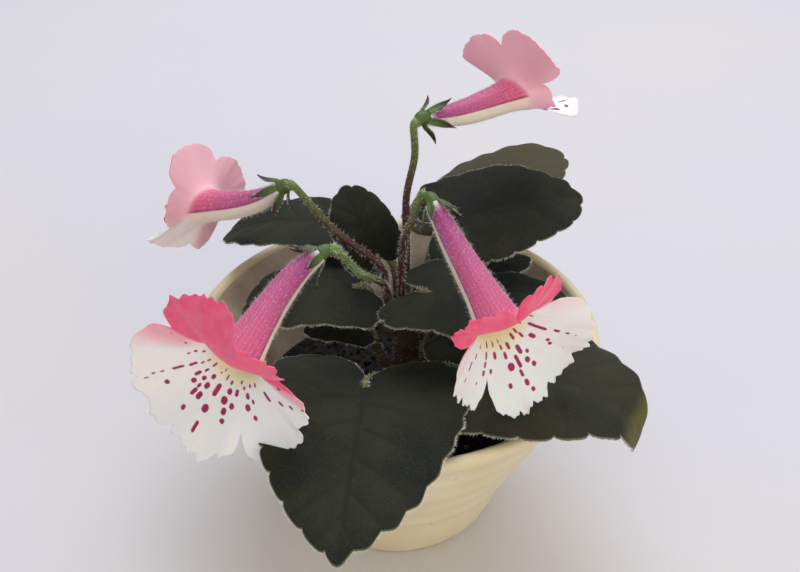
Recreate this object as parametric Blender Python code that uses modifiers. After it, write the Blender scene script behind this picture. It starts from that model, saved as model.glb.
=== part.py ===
"""Potted slipper gloxinia: a cream glazed pot, its soil, a short stem, twelve leaves and four nodding flowers.

Metres, +Z up. The origin is the centre of the pot's flat base, and the front of the plant faces -Y.
Each piece of the plant is its own closed solid: the stem, every leaf with its stalk, every flower stalk
with its calyx, and every corolla.
"""

import math

import bmesh
import bpy
import numpy as np
from mathutils import Vector

MM = 0.001
GAP = 0.35 * MM

# Pot, a wide thrown bowl shape
RIM_RADIUS = 55.0 * MM
BASE_RADIUS = 27.5 * MM
POT_HEIGHT = 60.0 * MM
WALL = 3.0 * MM
FLOOR = 4.0 * MM
FOOT_TOP = 13.0 * MM
FOOT_RADIUS = 32.2 * MM
SHOULDER_HEIGHT = 18.0 * MM
SHOULDER_RADIUS = 34.4 * MM
RIM_BEAD = 2.2 * MM
POT_STEPS = 36
MERGE = 0.02 * MM

# Soil
SOIL_TOP = 34.0 * MM
SOIL_RELIEF = 1.2 * MM
SOIL_RINGS = 6
SOIL_STEPS = 32

# Stem
STEM_FOOT = Vector((3.0, 2.0, 22.0)) * MM
STEM_TOP = Vector((3.0, 3.0, 69.0)) * MM
STEM_FOOT_RADIUS = 4.2 * MM
STEM_TOP_RADIUS = 3.2 * MM

# Leaves
BLADE_THICKNESS = 0.9 * MM
PETIOLE_RADIUS = 1.35 * MM
TEETH_DEPTH = 0.05
STALK_DROP = 0.9 * MM
BLADE_CENTRE = 0.32
BLADE_RINGS = (0.0, 0.36, 0.72, 1.0)
# Half a leaf's edge from tip to notch: across as a share of half its width, along as a share of its length,
# or below 0 of its lobe
HALF_LEAF = ((0, 1), (0.12, 0.965), (0.31, 0.89), (0.55, 0.77), (0.77, 0.6), (0.93, 0.38), (1, 0.14),
             (0.97, -0.3), (0.8, -0.8), (0.52, -1), (0.25, -0.78), (0.07, -0.3), (0, 0))
POINTS_A_TOOTH = 3

# Flowers
COROLLA_THICKNESS = 0.7 * MM
TUBE_RADII = ((0, 1.9), (0.12, 2.2), (0.3, 2.7), (0.55, 3.2), (0.8, 4.1), (1, 5.3))
MOUTH_SLANT = 0.12
POUCH = 0.9 * MM
FLARE_START = 16.0
PEDICEL_RADIUS = 0.95 * MM
RECEPTACLE_RADIUS = 3.0 * MM
RECEPTACLE_LENGTH = 4.0 * MM
SEPAL_LENGTH = 6.5 * MM
SEPAL_HALF_WIDTH = 1.5 * MM
SEPAL_FLATNESS = 0.36
SEPAL_STANDOFF = 3.25 * MM

# Each lobe's centre and half width, in degrees round the tube from its upper side
LOBES = ((-33, 33), (33, 33), (104, 38), (180, 38), (256, 38))
NOTCH_SHARE = 0.5
TURN_LENGTH = 3.2
FLARE_STEPS = 20
FRILL = 0.9 * MM
SECTORS = 30
LIMB_RINGS = (0.3, 0.65, 1.0)
TUBE_RINGS = (0.0, 0.25, 0.5, 0.75, 1.0)

GREEN = (0.018, 0.026, 0.018, 1.0)
STALK_GREEN = (0.09, 0.17, 0.03, 1.0)
STEM_BROWN = (0.06, 0.022, 0.015, 1.0)
PINK = (0.72, 0.16, 0.29, 1.0)
CREAM = (0.72, 0.66, 0.48, 1.0)
PEAT = (0.012, 0.010, 0.009, 1.0)

# A leaf runs from where its stalk joins the blade to its tip. The face normal sets its tilt, arch is how far
# the midrib rises over the straight line between them, cup lifts its edges, droop lowers the last part, and
# curl rolls the end under from a share of the length by an angle. node is the height on the stem that its
# stalk leaves from. Lengths in millimetres.
LEAVES = {
    "leaf_front": dict(base=(-7, -27.3, 63.3), tip=(-12.5, -78, 54), normal=(0, 0, 1), width=51, lobe=12,
                       arch=4.5, cup=0.5, droop=1, teeth=26, node=44, path=((0, -12, 53),)),
    "leaf_front_right": dict(base=(14, -16, 59), tip=(66, -39, 58), normal=(0, 0.05, 1), width=54, lobe=12,
                             arch=6, cup=-2, droop=1.5, teeth=24, node=48, curl=(0.84, 115)),
    "leaf_right_back": dict(base=(13, 21, 79), tip=(52, 30, 83), normal=(0, -0.3, 1), width=33, lobe=6,
                            arch=3, cup=-1.5, droop=1, teeth=20, node=60),
    "leaf_back_right": dict(base=(14, 30, 71), tip=(50, 64, 79.5), normal=(0, -0.1, 1), width=32, lobe=5,
                            arch=3, cup=-1, droop=1, teeth=18, node=56),
    "leaf_back": dict(base=(-5.5, 10, 76.5), tip=(-14, 18, 92.5), normal=(0.1, -0.8, 0.5), width=17.5, lobe=4,
                      arch=2, cup=-1.5, droop=0.5, teeth=16, node=63, path=((-3.5, 7.5, 70),)),
    "leaf_back_left": dict(base=(-14, 28, 73), tip=(-50.5, 34, 67.5), normal=(0, -0.02, 1), width=26, lobe=6,
                           arch=4, cup=-0.5, droop=1.5, teeth=18, node=57, path=((0.5, 10, 66), (-2, 15, 72))),
    "leaf_left": dict(base=(-9, 6.5, 68), tip=(-42, 3.5, 63), normal=(0, -0.03, 1), width=31, lobe=5,
                      arch=3, cup=-1.5, droop=1.5, teeth=18, node=55),
    "leaf_top_right": dict(base=(7.5, -9, 78), tip=(29, -17, 72), normal=(0.1, -0.1, 1), width=29, lobe=8,
                           arch=3, cup=-1, droop=1, teeth=16, node=62, path=((8.5, -4, 70),)),
    "leaf_right": dict(base=(18, 4, 63), tip=(47, 11, 62.5), normal=(0, 0, 1), width=22, lobe=5,
                       arch=3, cup=-1, droop=1, teeth=14, node=59),
    "leaf_low_right": dict(base=(15, 20, 57), tip=(39, 32, 61), normal=(0, 0.1, 1), width=18, lobe=4,
                           arch=2, cup=-1, droop=1, teeth=14, node=51),
    "leaf_low_back": dict(base=(11, 17, 48), tip=(19, 41, 54), normal=(0, -0.1, 1), width=19, lobe=4,
                          arch=2, cup=-1, droop=1, teeth=14, node=40),
    "leaf_low_left": dict(base=(-9, 9, 52), tip=(-26, 10, 51), normal=(0, -0.1, 1), width=13, lobe=3,
                          arch=1.5, cup=-1, droop=1, teeth=12, node=42),
}

# A flower's tube runs from base to mouth, setting out along start and ending along aim, with its upper side
# towards up. turns is the angle each lobe turns to from the tube's axis, and lengths how long each is. Its
# stalk leaves the stem at node and passes the points in path. Lengths in millimetres.
FLOWERS = {
    "front_left": dict(base=(-17.9, -20.2, 96.5), mouth=(-35, -41.7, 84.5), start=(-0.8, -0.4, -0.35),
                       cup=(-0.85, -0.2, 0.2), aim=(-0.52, -0.72, -0.46), up=(0, -0.54, 0.84),
                       turns=(98, 88, 62, 36, 58), lengths=(13, 13.5, 20, 21.5, 18), size=1.06, seed=1,
                       node=66, path=((-3, -2.5, 75), (-9, -10, 84))),
    "front_right": dict(base=(9.3, -10.5, 104.5), mouth=(23.3, -34, 88.5), start=(0.4, -0.72, -0.56),
                        cup=(0.7, -0.4, 0.2), aim=(0.44, -0.74, -0.5), up=(0.1, -0.53, 0.84),
                        turns=(86, 88, 44, 28, 70), lengths=(13, 13, 18, 19, 18), size=1.04, seed=2,
                        node=66, path=((1.5, -4.5, 78), (2, -6.5, 90), (4.2, -9, 99))),
    "back_left": dict(base=(-29, 5, 100), mouth=(-50.7, 15.8, 88), start=(-0.6, 0.35, -0.7),
                      cup=(-0.75, 0.4, 0.1), aim=(-0.85, 0.43, -0.31), up=(0.1, 0.65, 0.64),
                      turns=(88, 100, 60, 24, 105), lengths=(15, 13, 15, 16, 9.5), size=0.9, seed=3,
                      node=67.5, path=((-4, 3.5, 77), (-16, 4, 88))),
    "top": dict(base=(7.5, 10.5, 117), mouth=(28.6, 27, 114.2), start=(0.65, 0.67, -0.35),
                cup=(0.4, 0.45, 0.55), aim=(0.72, 0.69, -0.08), up=(-0.09, 0.21, 0.92),
                turns=(92, 92, 68, 12, 68), lengths=(17, 17, 17, 18, 17), size=0.92, seed=4,
                node=67, path=((3, 8, 78), (2.8, 7.6, 95), (4.9, 8.6, 107))),
}


def clear_scene():
    for obj in list(bpy.data.objects):
        bpy.data.objects.remove(obj)


def finish_of(name, colour, roughness):
    material = bpy.data.materials.new(name)
    material.use_nodes = True
    shader = material.node_tree.nodes["Principled BSDF"]
    shader.inputs["Base Color"].default_value = colour
    shader.inputs["Roughness"].default_value = roughness
    shader.inputs["Metallic"].default_value = 0.0
    return material


def add_object(name, mesh, material, collection):
    obj = bpy.data.objects.new(name, mesh)
    mesh.materials.clear()
    mesh.materials.append(material)
    collection.objects.link(obj)
    return obj


def evaluated_mesh(obj):
    """The object's mesh with its modifiers, welded, in world space."""
    bpy.context.view_layer.update()
    graph = bpy.context.evaluated_depsgraph_get()
    mesh = bpy.data.meshes.new_from_object(obj.evaluated_get(graph))
    mesh.transform(obj.matrix_world)
    shape = bmesh.new()
    shape.from_mesh(mesh)
    bmesh.ops.remove_doubles(shape, verts=shape.verts, dist=0.001 * MM)
    shape.to_mesh(mesh)
    shape.free()
    return mesh


def baked(obj):
    """The object with its modifiers and its place taken into its mesh."""
    name, material, collection = obj.name, obj.data.materials[0], obj.users_collection[0]
    mesh = evaluated_mesh(obj)
    bpy.data.objects.remove(obj)
    return add_object(name, mesh, material, collection)


def smooth_curve(points, count):
    """Points on a smooth curve through the given ones, as a Catmull-Rom spline."""
    ends = [2 * points[0] - points[1], *points, 2 * points[-1] - points[-2]]
    spans = len(points) - 1
    route = []
    for step in range(count + 1):
        along = min(step * spans / count, spans - 1e-9)
        i = int(along)
        t = along - i
        a, b, c, d = ends[i : i + 4]
        bend = (2 * a - 5 * b + 4 * c - d) * t**2 + (3 * b - a - 3 * c + d) * t**3
        route.append(0.5 * (2 * b + (c - a) * t + bend))
    return route


def tube(name, route, radii, material, collection, resolution=2):
    """A round stalk along the route, with a radius for each point."""
    curve = bpy.data.curves.new(name, "CURVE")
    curve.dimensions = "3D"
    curve.bevel_depth = 1.0
    curve.bevel_resolution = resolution
    curve.use_fill_caps = True
    spline = curve.splines.new("POLY")
    spline.points.add(len(route) - 1)
    for point, place, radius in zip(spline.points, route, radii):
        point.co = (*place, 1.0)
        point.radius = radius
    curve.materials.append(material)
    obj = bpy.data.objects.new(name, curve)
    collection.objects.link(obj)
    return baked(obj)


def union(body, others, scrap):
    """Joins the others to the body with one Boolean on a collection, and removes them."""
    for other in others:
        for home in list(other.users_collection):
            home.objects.unlink(other)
        scrap.objects.link(other)
    join = body.modifiers.new("join", "BOOLEAN")
    join.operation = "UNION"
    join.operand_type = "COLLECTION"
    join.collection = scrap
    join.solver = "EXACT"
    body = baked(body)
    for other in others:
        bpy.data.objects.remove(other)
    return body


def sheet_solid(name, shape, thickness, material, collection):
    """A thin closed solid from an open surface whose faces are already triangles."""
    mesh = bpy.data.meshes.new(name)
    shape.normal_update()
    shape.to_mesh(mesh)
    shape.free()
    obj = add_object(name, mesh, material, collection)
    wall = obj.modifiers.new("wall", "SOLIDIFY")
    wall.thickness = thickness
    wall.offset = 0.0
    return baked(obj)


def polar_sheet(steps, rings, close, cuts, place):
    """A grid of steps by rings whose points place(across, along) sets, with more points cut into its edge."""
    shape = bmesh.new()
    bmesh.ops.create_grid(shape, x_segments=steps, y_segments=len(rings) - 1, size=0.5)
    for vert in shape.verts:
        row = round((vert.co.y + 0.5) * (len(rings) - 1))
        vert.co = ((vert.co.x + 0.5), rings[row], 0.0)
    outer = [edge for edge in shape.edges if all(vert.co.y > 1 - 1e-6 for vert in edge.verts)]
    if cuts:
        bmesh.ops.subdivide_edges(shape, edges=outer, cuts=cuts)
    bmesh.ops.triangulate(shape, faces=shape.faces)
    spots = place(np.array([vert.co.x for vert in shape.verts]), np.array([vert.co.y for vert in shape.verts]))
    for vert, spot in zip(shape.verts, spots):
        vert.co = spot
    bmesh.ops.remove_doubles(shape, verts=shape.verts, dist=0.01 * MM if close else 0.001 * MM)
    bmesh.ops.dissolve_degenerate(shape, dist=0.001 * MM, edges=shape.edges)
    return shape


def axes_of(forward, up):
    """Unit side, forward and normal vectors, with the normal as near to up as the forward line allows."""
    forward = forward.normalized()
    side = forward.cross(up).normalized()
    return side, forward, side.cross(forward).normalized()


def leaf_outline(round_share, length, half_width, lobe, teeth):
    """A scalloped heart-shaped edge, from the notch at 0 round by the tip and back to the notch at 1."""
    right = [Vector((u, v, 0.0)) for u, v in reversed(HALF_LEAF)]
    left = [Vector((-u, v, 0.0)) for u, v in HALF_LEAF[1:]]
    curve = np.array(smooth_curve(right + left, 400))
    across = curve[:, 0] * half_width
    along = curve[:, 1] * np.where(curve[:, 1] > 0, length, lobe)
    steps = np.concatenate([[0.0], np.cumsum(np.hypot(np.diff(across), np.diff(along)))])
    at = round_share * steps[-1]
    near_notch = np.minimum(round_share, 1 - round_share) * 2
    scallop = (np.abs(np.sin(math.pi * teeth * round_share)) - 0.6) * np.clip(near_notch * 8 - 0.6, 0, 1)
    return np.interp(at, steps, across), np.interp(at, steps, along), 1 + TEETH_DEPTH * scallop


def leaf_blade_points(spec):
    """The rule that places a point of the blade from its share round the edge and its share out to the edge."""
    base, tip = Vector(spec["base"]) * MM, Vector(spec["tip"]) * MM
    side, forward, normal = (np.array(axis) for axis in axes_of(tip - base, Vector(spec["normal"])))
    length = (tip - base).length
    half_width, lobe = spec["width"] / 2 * MM, spec["lobe"] * MM
    arch, cup, droop = (spec[key] * MM for key in ("arch", "cup", "droop"))
    curl_from, curl_angle = spec.get("curl", (1.0, 0.0))
    curl_start = curl_from * length
    curl_radius = (1 - curl_from) * length / max(math.radians(curl_angle), 1e-6)
    middle = BLADE_CENTRE * length

    def place(round_share, out_share):
        across, along, scallop = leaf_outline(round_share, length, half_width, lobe, spec["teeth"])
        across = across * scallop * out_share
        along = middle + (along - middle) * scallop * out_share
        share = along / length
        height = 4 * arch * share * (1 - share) + cup * (across / half_width) ** 2
        height = height - droop * np.clip(share, 0, 1) ** 5
        if curl_angle:
            roll = np.clip(along - curl_start, 0, None) / curl_radius
            along = np.where(along > curl_start, curl_start + curl_radius * np.sin(roll), along)
            height = height - curl_radius * (1 - np.cos(roll))
        return np.array(base) + np.outer(across, side) + np.outer(along, forward) + np.outer(height, normal)

    return place


def stem_point(height):
    share = (height - STEM_FOOT.z) / (STEM_TOP.z - STEM_FOOT.z)
    return STEM_FOOT.lerp(STEM_TOP, share), STEM_FOOT_RADIUS + (STEM_TOP_RADIUS - STEM_FOOT_RADIUS) * share


def leaving_stem(height, towards, stalk_radius):
    """Two points that lead straight out from just clear of the stem's side, towards a place."""
    centre, radius = stem_point(height)
    outward = Vector((towards.x - centre.x, towards.y - centre.y, 0.0)).normalized()
    start = centre + outward * (radius + GAP)
    return [start, start + outward * 2 * stalk_radius]


def leaf_stalk_route(spec):
    """From just clear of the stem's side, out and up to the underside of the blade."""
    base, tip = Vector(spec["base"]) * MM, Vector(spec["tip"]) * MM
    _, forward, normal = axes_of(tip - base, Vector(spec["normal"]))
    under = base - normal * STALK_DROP
    start, elbow = leaving_stem(spec["node"] * MM, base, PETIOLE_RADIUS)
    points = [elbow, *(Vector(point) * MM for point in spec.get("path", ()))]
    points += [under - forward * 1.0 * MM, under + forward * 4.0 * MM + normal * 0.5 * STALK_DROP]
    return [start, *smooth_curve(points, 9)]


def leaf(name, spec, material, collection, scrap):
    teeth = spec["teeth"]
    shape = polar_sheet(teeth, BLADE_RINGS, True, POINTS_A_TOOTH - 1, leaf_blade_points(spec))
    blade = sheet_solid(name, shape, BLADE_THICKNESS, material, collection)
    route = leaf_stalk_route(spec)
    radii = [PETIOLE_RADIUS * (1 - 0.45 * (i / (len(route) - 1)) ** 2) for i in range(len(route))]
    stalk = tube(name + "_stalk", route, radii, material, collection)
    return union(blade, [stalk], scrap)


def ragged(turn, seed):
    """A repeatable uneven wave between -1 and 1, for torn petal edges."""
    return (
        0.5 * np.sin(23 * turn + 1.7 * seed)
        + 0.3 * np.sin(41 * turn + 2.9 * seed)
        + 0.2 * np.sin(67 * turn + 0.6 * seed)
    )


def lobe_rules(turn, turns, lengths):
    """For each direction round the tube: how long the limb is, in millimetres, and the angle it turns to."""
    degrees = np.degrees(turn) % 360
    reach = np.full_like(degrees, NOTCH_SHARE * 15.0)
    bend = np.zeros_like(degrees)
    weight = np.zeros_like(degrees)
    for (centre, half), turn_to, length in zip(LOBES, turns, lengths):
        off = np.abs((degrees - centre + 180) % 360 - 180)
        share = np.clip(off / half, 0, 1)
        rounded = (1 - share**3.4) ** 0.55
        reach = np.maximum(reach, length * (NOTCH_SHARE + (1 - NOTCH_SHARE) * rounded) * (off <= half))
        near = np.exp(-((off / 26.0) ** 2))
        bend += near * turn_to
        weight += near
    return reach, bend / weight


def flower_axes(spec):
    """The tube's middle line and, at any share along it, its lateral, forward and dorsal directions."""
    base, mouth = Vector(spec["base"]) * MM, Vector(spec["mouth"]) * MM
    reach = (mouth - base).length
    start, end = Vector(spec["start"]).normalized() * reach, Vector(spec["aim"]).normalized() * reach

    def at(t):
        spot = (
            base * (2 * t**3 - 3 * t**2 + 1)
            + start * (t**3 - 2 * t**2 + t)
            + mouth * (3 * t**2 - 2 * t**3)
            + end * (t**3 - t**2)
        )
        way = base * (6 * t**2 - 6 * t) + start * (3 * t**2 - 4 * t + 1) + mouth * (6 * t - 6 * t**2) + end * (
            3 * t**2 - 2 * t
        )
        return spot, axes_of(way, Vector(spec["up"]))

    return at, reach


def corolla_points(spec):
    """The rule that places a point of the corolla: round it, and along it from 0 by the mouth at 0.5 to 1."""
    at, tube_reach = flower_axes(spec)
    size = spec["size"]
    stations, radii = np.array(TUBE_RADII).T

    def place(round_share, out_share):
        turn = (2 * round_share - 1) * math.pi
        down = -np.cos(turn)
        along = np.clip(out_share * 2, 0, 1)
        radius = np.interp(along, stations, radii) * MM * size
        radius += POUCH * np.clip(down, 0, 1) * np.sin(math.pi * along) ** 2
        forward = along * MOUTH_SLANT * down * tube_reach
        reach, bend = lobe_rules(turn, spec["turns"], spec["lengths"])
        limb = np.clip(out_share * 2 - 1, 0, 1)
        reach = reach * size * (1 + 0.05 * ragged(turn, spec["seed"]) * limb**4)
        for step in range(FLARE_STEPS):
            run = reach * limb * MM / FLARE_STEPS
            gone = reach * limb * (step + 0.5) / FLARE_STEPS
            angle = np.radians(FLARE_START + (bend - FLARE_START) * (1 - np.exp(-gone / (TURN_LENGTH * size))))
            forward = forward + run * np.cos(angle)
            radius = radius + run * np.sin(angle)
        wave = FRILL * size * ragged(turn * 0.55 + 0.3, spec["seed"] + 5) * limb**3
        forward = forward + wave * np.abs(np.sin(np.radians(bend)))
        radius = radius + wave * np.clip(np.cos(np.radians(bend)), 0, 1)
        spots = []
        for angle, share, ahead, out in zip(turn, along, forward, radius):
            centre, (lateral, axis, dorsal) = at(float(share))
            outward = dorsal * math.cos(angle) + lateral * math.sin(angle)
            spots.append(centre + axis * ahead + outward * out)
        return spots

    return place


def corolla(name, spec, material, collection):
    rings = [share / 2 for share in TUBE_RINGS] + [(1 + share) / 2 for share in LIMB_RINGS]
    shape = polar_sheet(SECTORS, rings, False, 2, corolla_points(spec))
    return sheet_solid(name, shape, COROLLA_THICKNESS, material, collection)


def sepal(name, seat, outward, axis, material, collection):
    """A narrow pointed leaf of the calyx, rooted in the swelling and flattened towards the flower's axis."""
    route = [seat - axis * RECEPTACLE_LENGTH * 0.4 + outward * RECEPTACLE_RADIUS * 0.6]
    foot = seat + outward * SEPAL_STANDOFF
    widths = (0.9, 1.0, 0.85, 0.5, 0.12)
    for i in range(len(widths)):
        share = i / (len(widths) - 1)
        lean = math.radians(16 + 28 * share)
        route.append(foot + (axis * math.cos(lean) + outward * math.sin(lean)) * SEPAL_LENGTH * share)
    obj = tube(name, route, [SEPAL_HALF_WIDTH * w for w in (0.5, *widths)], material, collection, 1)
    thin = axis.cross(outward).normalized().cross((route[-1] - route[1]).normalized())
    for vert in obj.data.vertices:
        spine = min(route, key=lambda point: (vert.co - point).length)
        vert.co -= thin * (vert.co - spine).dot(thin) * (1 - SEPAL_FLATNESS)
    return obj


def flower_stalk(name, spec, material, collection, scrap):
    """The flower's own stalk, the swelling under the flower and its five sepals, joined as they grow."""
    at, _ = flower_axes(spec)
    base, (lateral, axis, dorsal) = at(0.0)
    seat = base - axis * GAP
    growth = (axis + Vector(spec["cup"]).normalized()).normalized()
    heel = seat - growth * RECEPTACLE_LENGTH
    points = [Vector(p) * MM for p in spec["path"]]
    start, elbow = leaving_stem(spec["node"] * MM, points[0], PEDICEL_RADIUS)
    route = [start, *smooth_curve([elbow, *points, heel, heel.lerp(seat, 0.4)], 14)]
    stalk = tube(name, route, [PEDICEL_RADIUS] * len(route), material, collection)
    waist = seat - axis * RECEPTACLE_LENGTH * 0.35
    cup_route = [heel, heel.lerp(waist, 0.5), waist, seat]
    cup_radii = [RECEPTACLE_RADIUS * share for share in (0.42, 0.68, 1.0, 0.9)]
    pieces = [tube(name + "_cup", cup_route, cup_radii, material, collection)]
    for i in range(5):
        angle = math.radians(36 + 72 * i)
        outward = dorsal * math.cos(angle) + lateral * math.sin(angle)
        pieces.append(sepal(f"{name}_sepal_{i}", seat, outward, axis, material, collection))
    return union(stalk, pieces, scrap)


def turned(name, outline, steps, material, collection):
    """A solid turned about Z from an outline of radius and height that starts and ends on the axis."""
    mesh = bpy.data.meshes.new(name)
    shape = bmesh.new()
    verts = [shape.verts.new((radius, 0.0, height)) for radius, height in outline]
    for first, second in zip(verts, verts[1:]):
        shape.edges.new((first, second))
    shape.to_mesh(mesh)
    shape.free()
    obj = add_object(name, mesh, material, collection)
    turn = obj.modifiers.new("turn", "SCREW")
    turn.steps = turn.render_steps = steps
    turn.use_merge_vertices = True
    turn.merge_threshold = MERGE
    turn.use_normal_calculate = True
    return baked(obj)


def inner_radius(height):
    """The radius of the pot's flaring inner wall at a height."""
    low = Vector((SHOULDER_RADIUS - WALL, SHOULDER_HEIGHT))
    high = Vector((RIM_RADIUS - RIM_BEAD - WALL, POT_HEIGHT - 6.0 * MM))
    return low.x + (high.x - low.x) * (height - low.y) / (high.y - low.y)


def pot(material, collection):
    """A turned shell: flat base, a rounded foot, a straight flaring wall and a soft rolled rim."""
    rim = POT_HEIGHT
    outline = [(0.0, 0.0), (BASE_RADIUS - 1.5 * MM, 0.0), (BASE_RADIUS, 0.8 * MM)]
    outline += [(BASE_RADIUS + 1.8 * MM, 4.0 * MM), (BASE_RADIUS + 3.4 * MM, 8.0 * MM), (FOOT_RADIUS, FOOT_TOP)]
    outline += [(SHOULDER_RADIUS, SHOULDER_HEIGHT), (RIM_RADIUS - RIM_BEAD, rim - 5.0 * MM)]
    outline += [(RIM_RADIUS - 0.4 * MM, rim - 3.4 * MM), (RIM_RADIUS, rim - 1.8 * MM)]
    outline += [(RIM_RADIUS - 0.6 * MM, rim - 0.4 * MM), (RIM_RADIUS - 1.6 * MM, rim)]
    outline += [(RIM_RADIUS - 2.8 * MM, rim - 0.5 * MM), (RIM_RADIUS - 3.6 * MM, rim - 2.0 * MM)]
    outline += [(inner_radius(height), height) for height in (rim - 6.0 * MM, SHOULDER_HEIGHT + 0.6 * MM)]
    outline += [(FOOT_RADIUS - WALL, FOOT_TOP), (BASE_RADIUS - 1.8 * MM, FLOOR + 1.5 * MM)]
    outline += [(BASE_RADIUS - 4.5 * MM, FLOOR), (0.0, FLOOR)]
    return turned("pot", outline, POT_STEPS, material, collection)


def soil_relief(x, y):
    """How far the peat's top rises or sinks at a place, for x and y in millimetres."""
    swell = math.sin(1.9 * x + 0.7 * y) * math.sin(1.3 * y - 0.6 * x + 1.0)
    return SOIL_RELIEF * 0.5 * (swell + 0.6 * math.sin(3.1 * x - 2.3 * y))


def soil(material, collection, scrap):
    """Peat up to its level in the pot, with an uneven top and a plain hole for the stem."""
    top = inner_radius(SOIL_TOP) - GAP
    low = SHOULDER_HEIGHT + 0.8 * MM
    outline = [(0.0, FLOOR + GAP), (BASE_RADIUS - 5.0 * MM, FLOOR + GAP)]
    outline += [(BASE_RADIUS - 2.4 * MM, FLOOR + 2.3 * MM), (FOOT_RADIUS - WALL - 0.5 * MM, FOOT_TOP + 0.3 * MM)]
    outline += [(inner_radius(low) - GAP - 0.2 * MM, low), (top, SOIL_TOP)]
    outline += [(top * (SOIL_RINGS - i) / SOIL_RINGS, SOIL_TOP) for i in range(1, SOIL_RINGS + 1)]
    obj = turned("soil", outline, SOIL_STEPS, material, collection)
    for vert in obj.data.vertices:
        inside = math.hypot(vert.co.x, vert.co.y) < top - 0.5 * MM
        if inside and vert.co.z > SOIL_TOP - 0.1 * MM:
            vert.co.z += soil_relief(vert.co.x / MM, vert.co.y / MM)
    depth = 30.0 * MM
    place = STEM_FOOT + Vector((0.0, 0.0, depth / 2 - GAP))
    wide = STEM_FOOT_RADIUS + GAP
    bpy.ops.mesh.primitive_cylinder_add(vertices=24, radius=wide, depth=depth, location=place)
    cutter = bpy.context.object
    for home in list(cutter.users_collection):
        home.objects.unlink(cutter)
    scrap.objects.link(cutter)
    cutter.hide_render = True
    cutter.display_type = "WIRE"
    hole = obj.modifiers.new("stem_hole", "BOOLEAN")
    hole.operation = "DIFFERENCE"
    hole.object = cutter
    obj = baked(obj)
    bpy.data.objects.remove(cutter)
    return obj


def stem(material, collection):
    """The short trunk that every stalk leaves from, rounded off at its top."""
    heights = (0.0, 0.3, 0.55, 0.8, 0.93, 0.985, 1.0)
    swell = (1.0, 1.0, 0.97, 1.0, 0.95, 0.65, 0.25)
    route = [STEM_FOOT.lerp(STEM_TOP, share) for share in heights]
    radii = [stem_point(spot.z)[1] * share for spot, share in zip(route, swell)]
    return tube("stem", route, radii, material, collection, 4)


def main():
    clear_scene()
    parts = bpy.data.collections.new("gloxinia")
    scrap = bpy.data.collections.new("cutters")
    bpy.context.scene.collection.children.link(parts)
    bpy.context.scene.collection.children.link(scrap)
    glaze = finish_of("cream_glaze", CREAM, 0.35)
    peat = finish_of("peat", PEAT, 0.95)
    bark = finish_of("stem_skin", STEM_BROWN, 0.6)
    foliage = finish_of("leaf_skin", GREEN, 0.65)
    shoot = finish_of("stalk_skin", STALK_GREEN, 0.6)
    petal = finish_of("petal_skin", PINK, 0.55)
    pot(glaze, parts)
    soil(peat, parts, scrap)
    stem(bark, parts)
    for name, spec in LEAVES.items():
        leaf(name, spec, foliage, parts, scrap)
    for name, spec in FLOWERS.items():
        flower_stalk("stalk_" + name, spec, shoot, parts, scrap)
        corolla("corolla_" + name, spec, petal, parts)
    for obj in parts.objects:
        obj.data.shade_smooth()
        obj.data.set_sharp_from_angle(angle=math.radians(45.0))


main()
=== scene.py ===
# %% [markdown]
# # A potted slipper gloxinia
# This lesson dresses a plain model of a small houseplant: a cream pot, dark velvety leaves and four nodding
# flowers, pink above and white with magenta spots below. The plain model comes in as a fixed frame, and each
# of its pieces is replaced here by a finer one that stands in the same place. Sizes in the tables are in
# millimetres, as a gardener would measure them, and MM turns them to Blender's metres.

# %% The frame
import math

import bpy
import numpy as np
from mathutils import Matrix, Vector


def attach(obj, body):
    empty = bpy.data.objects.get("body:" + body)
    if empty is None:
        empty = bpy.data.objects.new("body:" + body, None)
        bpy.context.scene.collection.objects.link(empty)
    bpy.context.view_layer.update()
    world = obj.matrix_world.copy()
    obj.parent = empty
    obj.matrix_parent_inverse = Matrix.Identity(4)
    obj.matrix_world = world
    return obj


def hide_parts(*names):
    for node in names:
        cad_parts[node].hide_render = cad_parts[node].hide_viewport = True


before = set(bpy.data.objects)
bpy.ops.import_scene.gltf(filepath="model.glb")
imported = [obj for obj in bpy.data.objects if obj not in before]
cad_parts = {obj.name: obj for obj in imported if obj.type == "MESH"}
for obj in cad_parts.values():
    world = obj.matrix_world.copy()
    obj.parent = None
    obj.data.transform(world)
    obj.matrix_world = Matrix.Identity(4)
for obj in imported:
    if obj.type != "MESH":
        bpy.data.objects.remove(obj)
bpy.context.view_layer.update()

MM = 0.001

# %% [markdown]
# ## The camera
# The photograph looks down on the plant from about 35 degrees above level, with a lens a little longer than
# normal. The camera comes first, because every later choice is judged through it.

# %% Camera
EYE = (0.0012, -0.24454, 0.24668)
TILT, LENS = 54.6, 50.985
camera = bpy.data.objects.new("camera", bpy.data.cameras.new("camera"))
camera.data.sensor_width = 36.0
camera.data.lens = LENS
camera.data.clip_start = 0.01
camera.location = EYE
camera.rotation_euler = (math.radians(TILT), 0.0, 0.0)
bpy.context.scene.collection.objects.link(camera)
bpy.context.scene.camera = camera
print("the camera looks", round(90 - TILT, 1), "degrees down through a lens of", LENS, "mm")

# %% [markdown]
# ## Soft daylight
# The plant stands in soft daylight, as if by a window. An even pale sky gives most of the light. One large
# lamp above and behind the plant lets its soft shadow fall towards the front, and a weaker warm one in
# front, on the right, stands for light that bounces back from the room.

# %% Light and colour
def linear(code):
    """A colour written as sRGB hex, turned to the linear values that shaders take."""
    parts = [int(code[i : i + 2], 16) / 255 for i in (1, 3, 5)]
    return tuple(c / 12.92 if c <= 0.04045 else ((c + 0.055) / 1.055) ** 2.4 for c in parts) + (1.0,)


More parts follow.
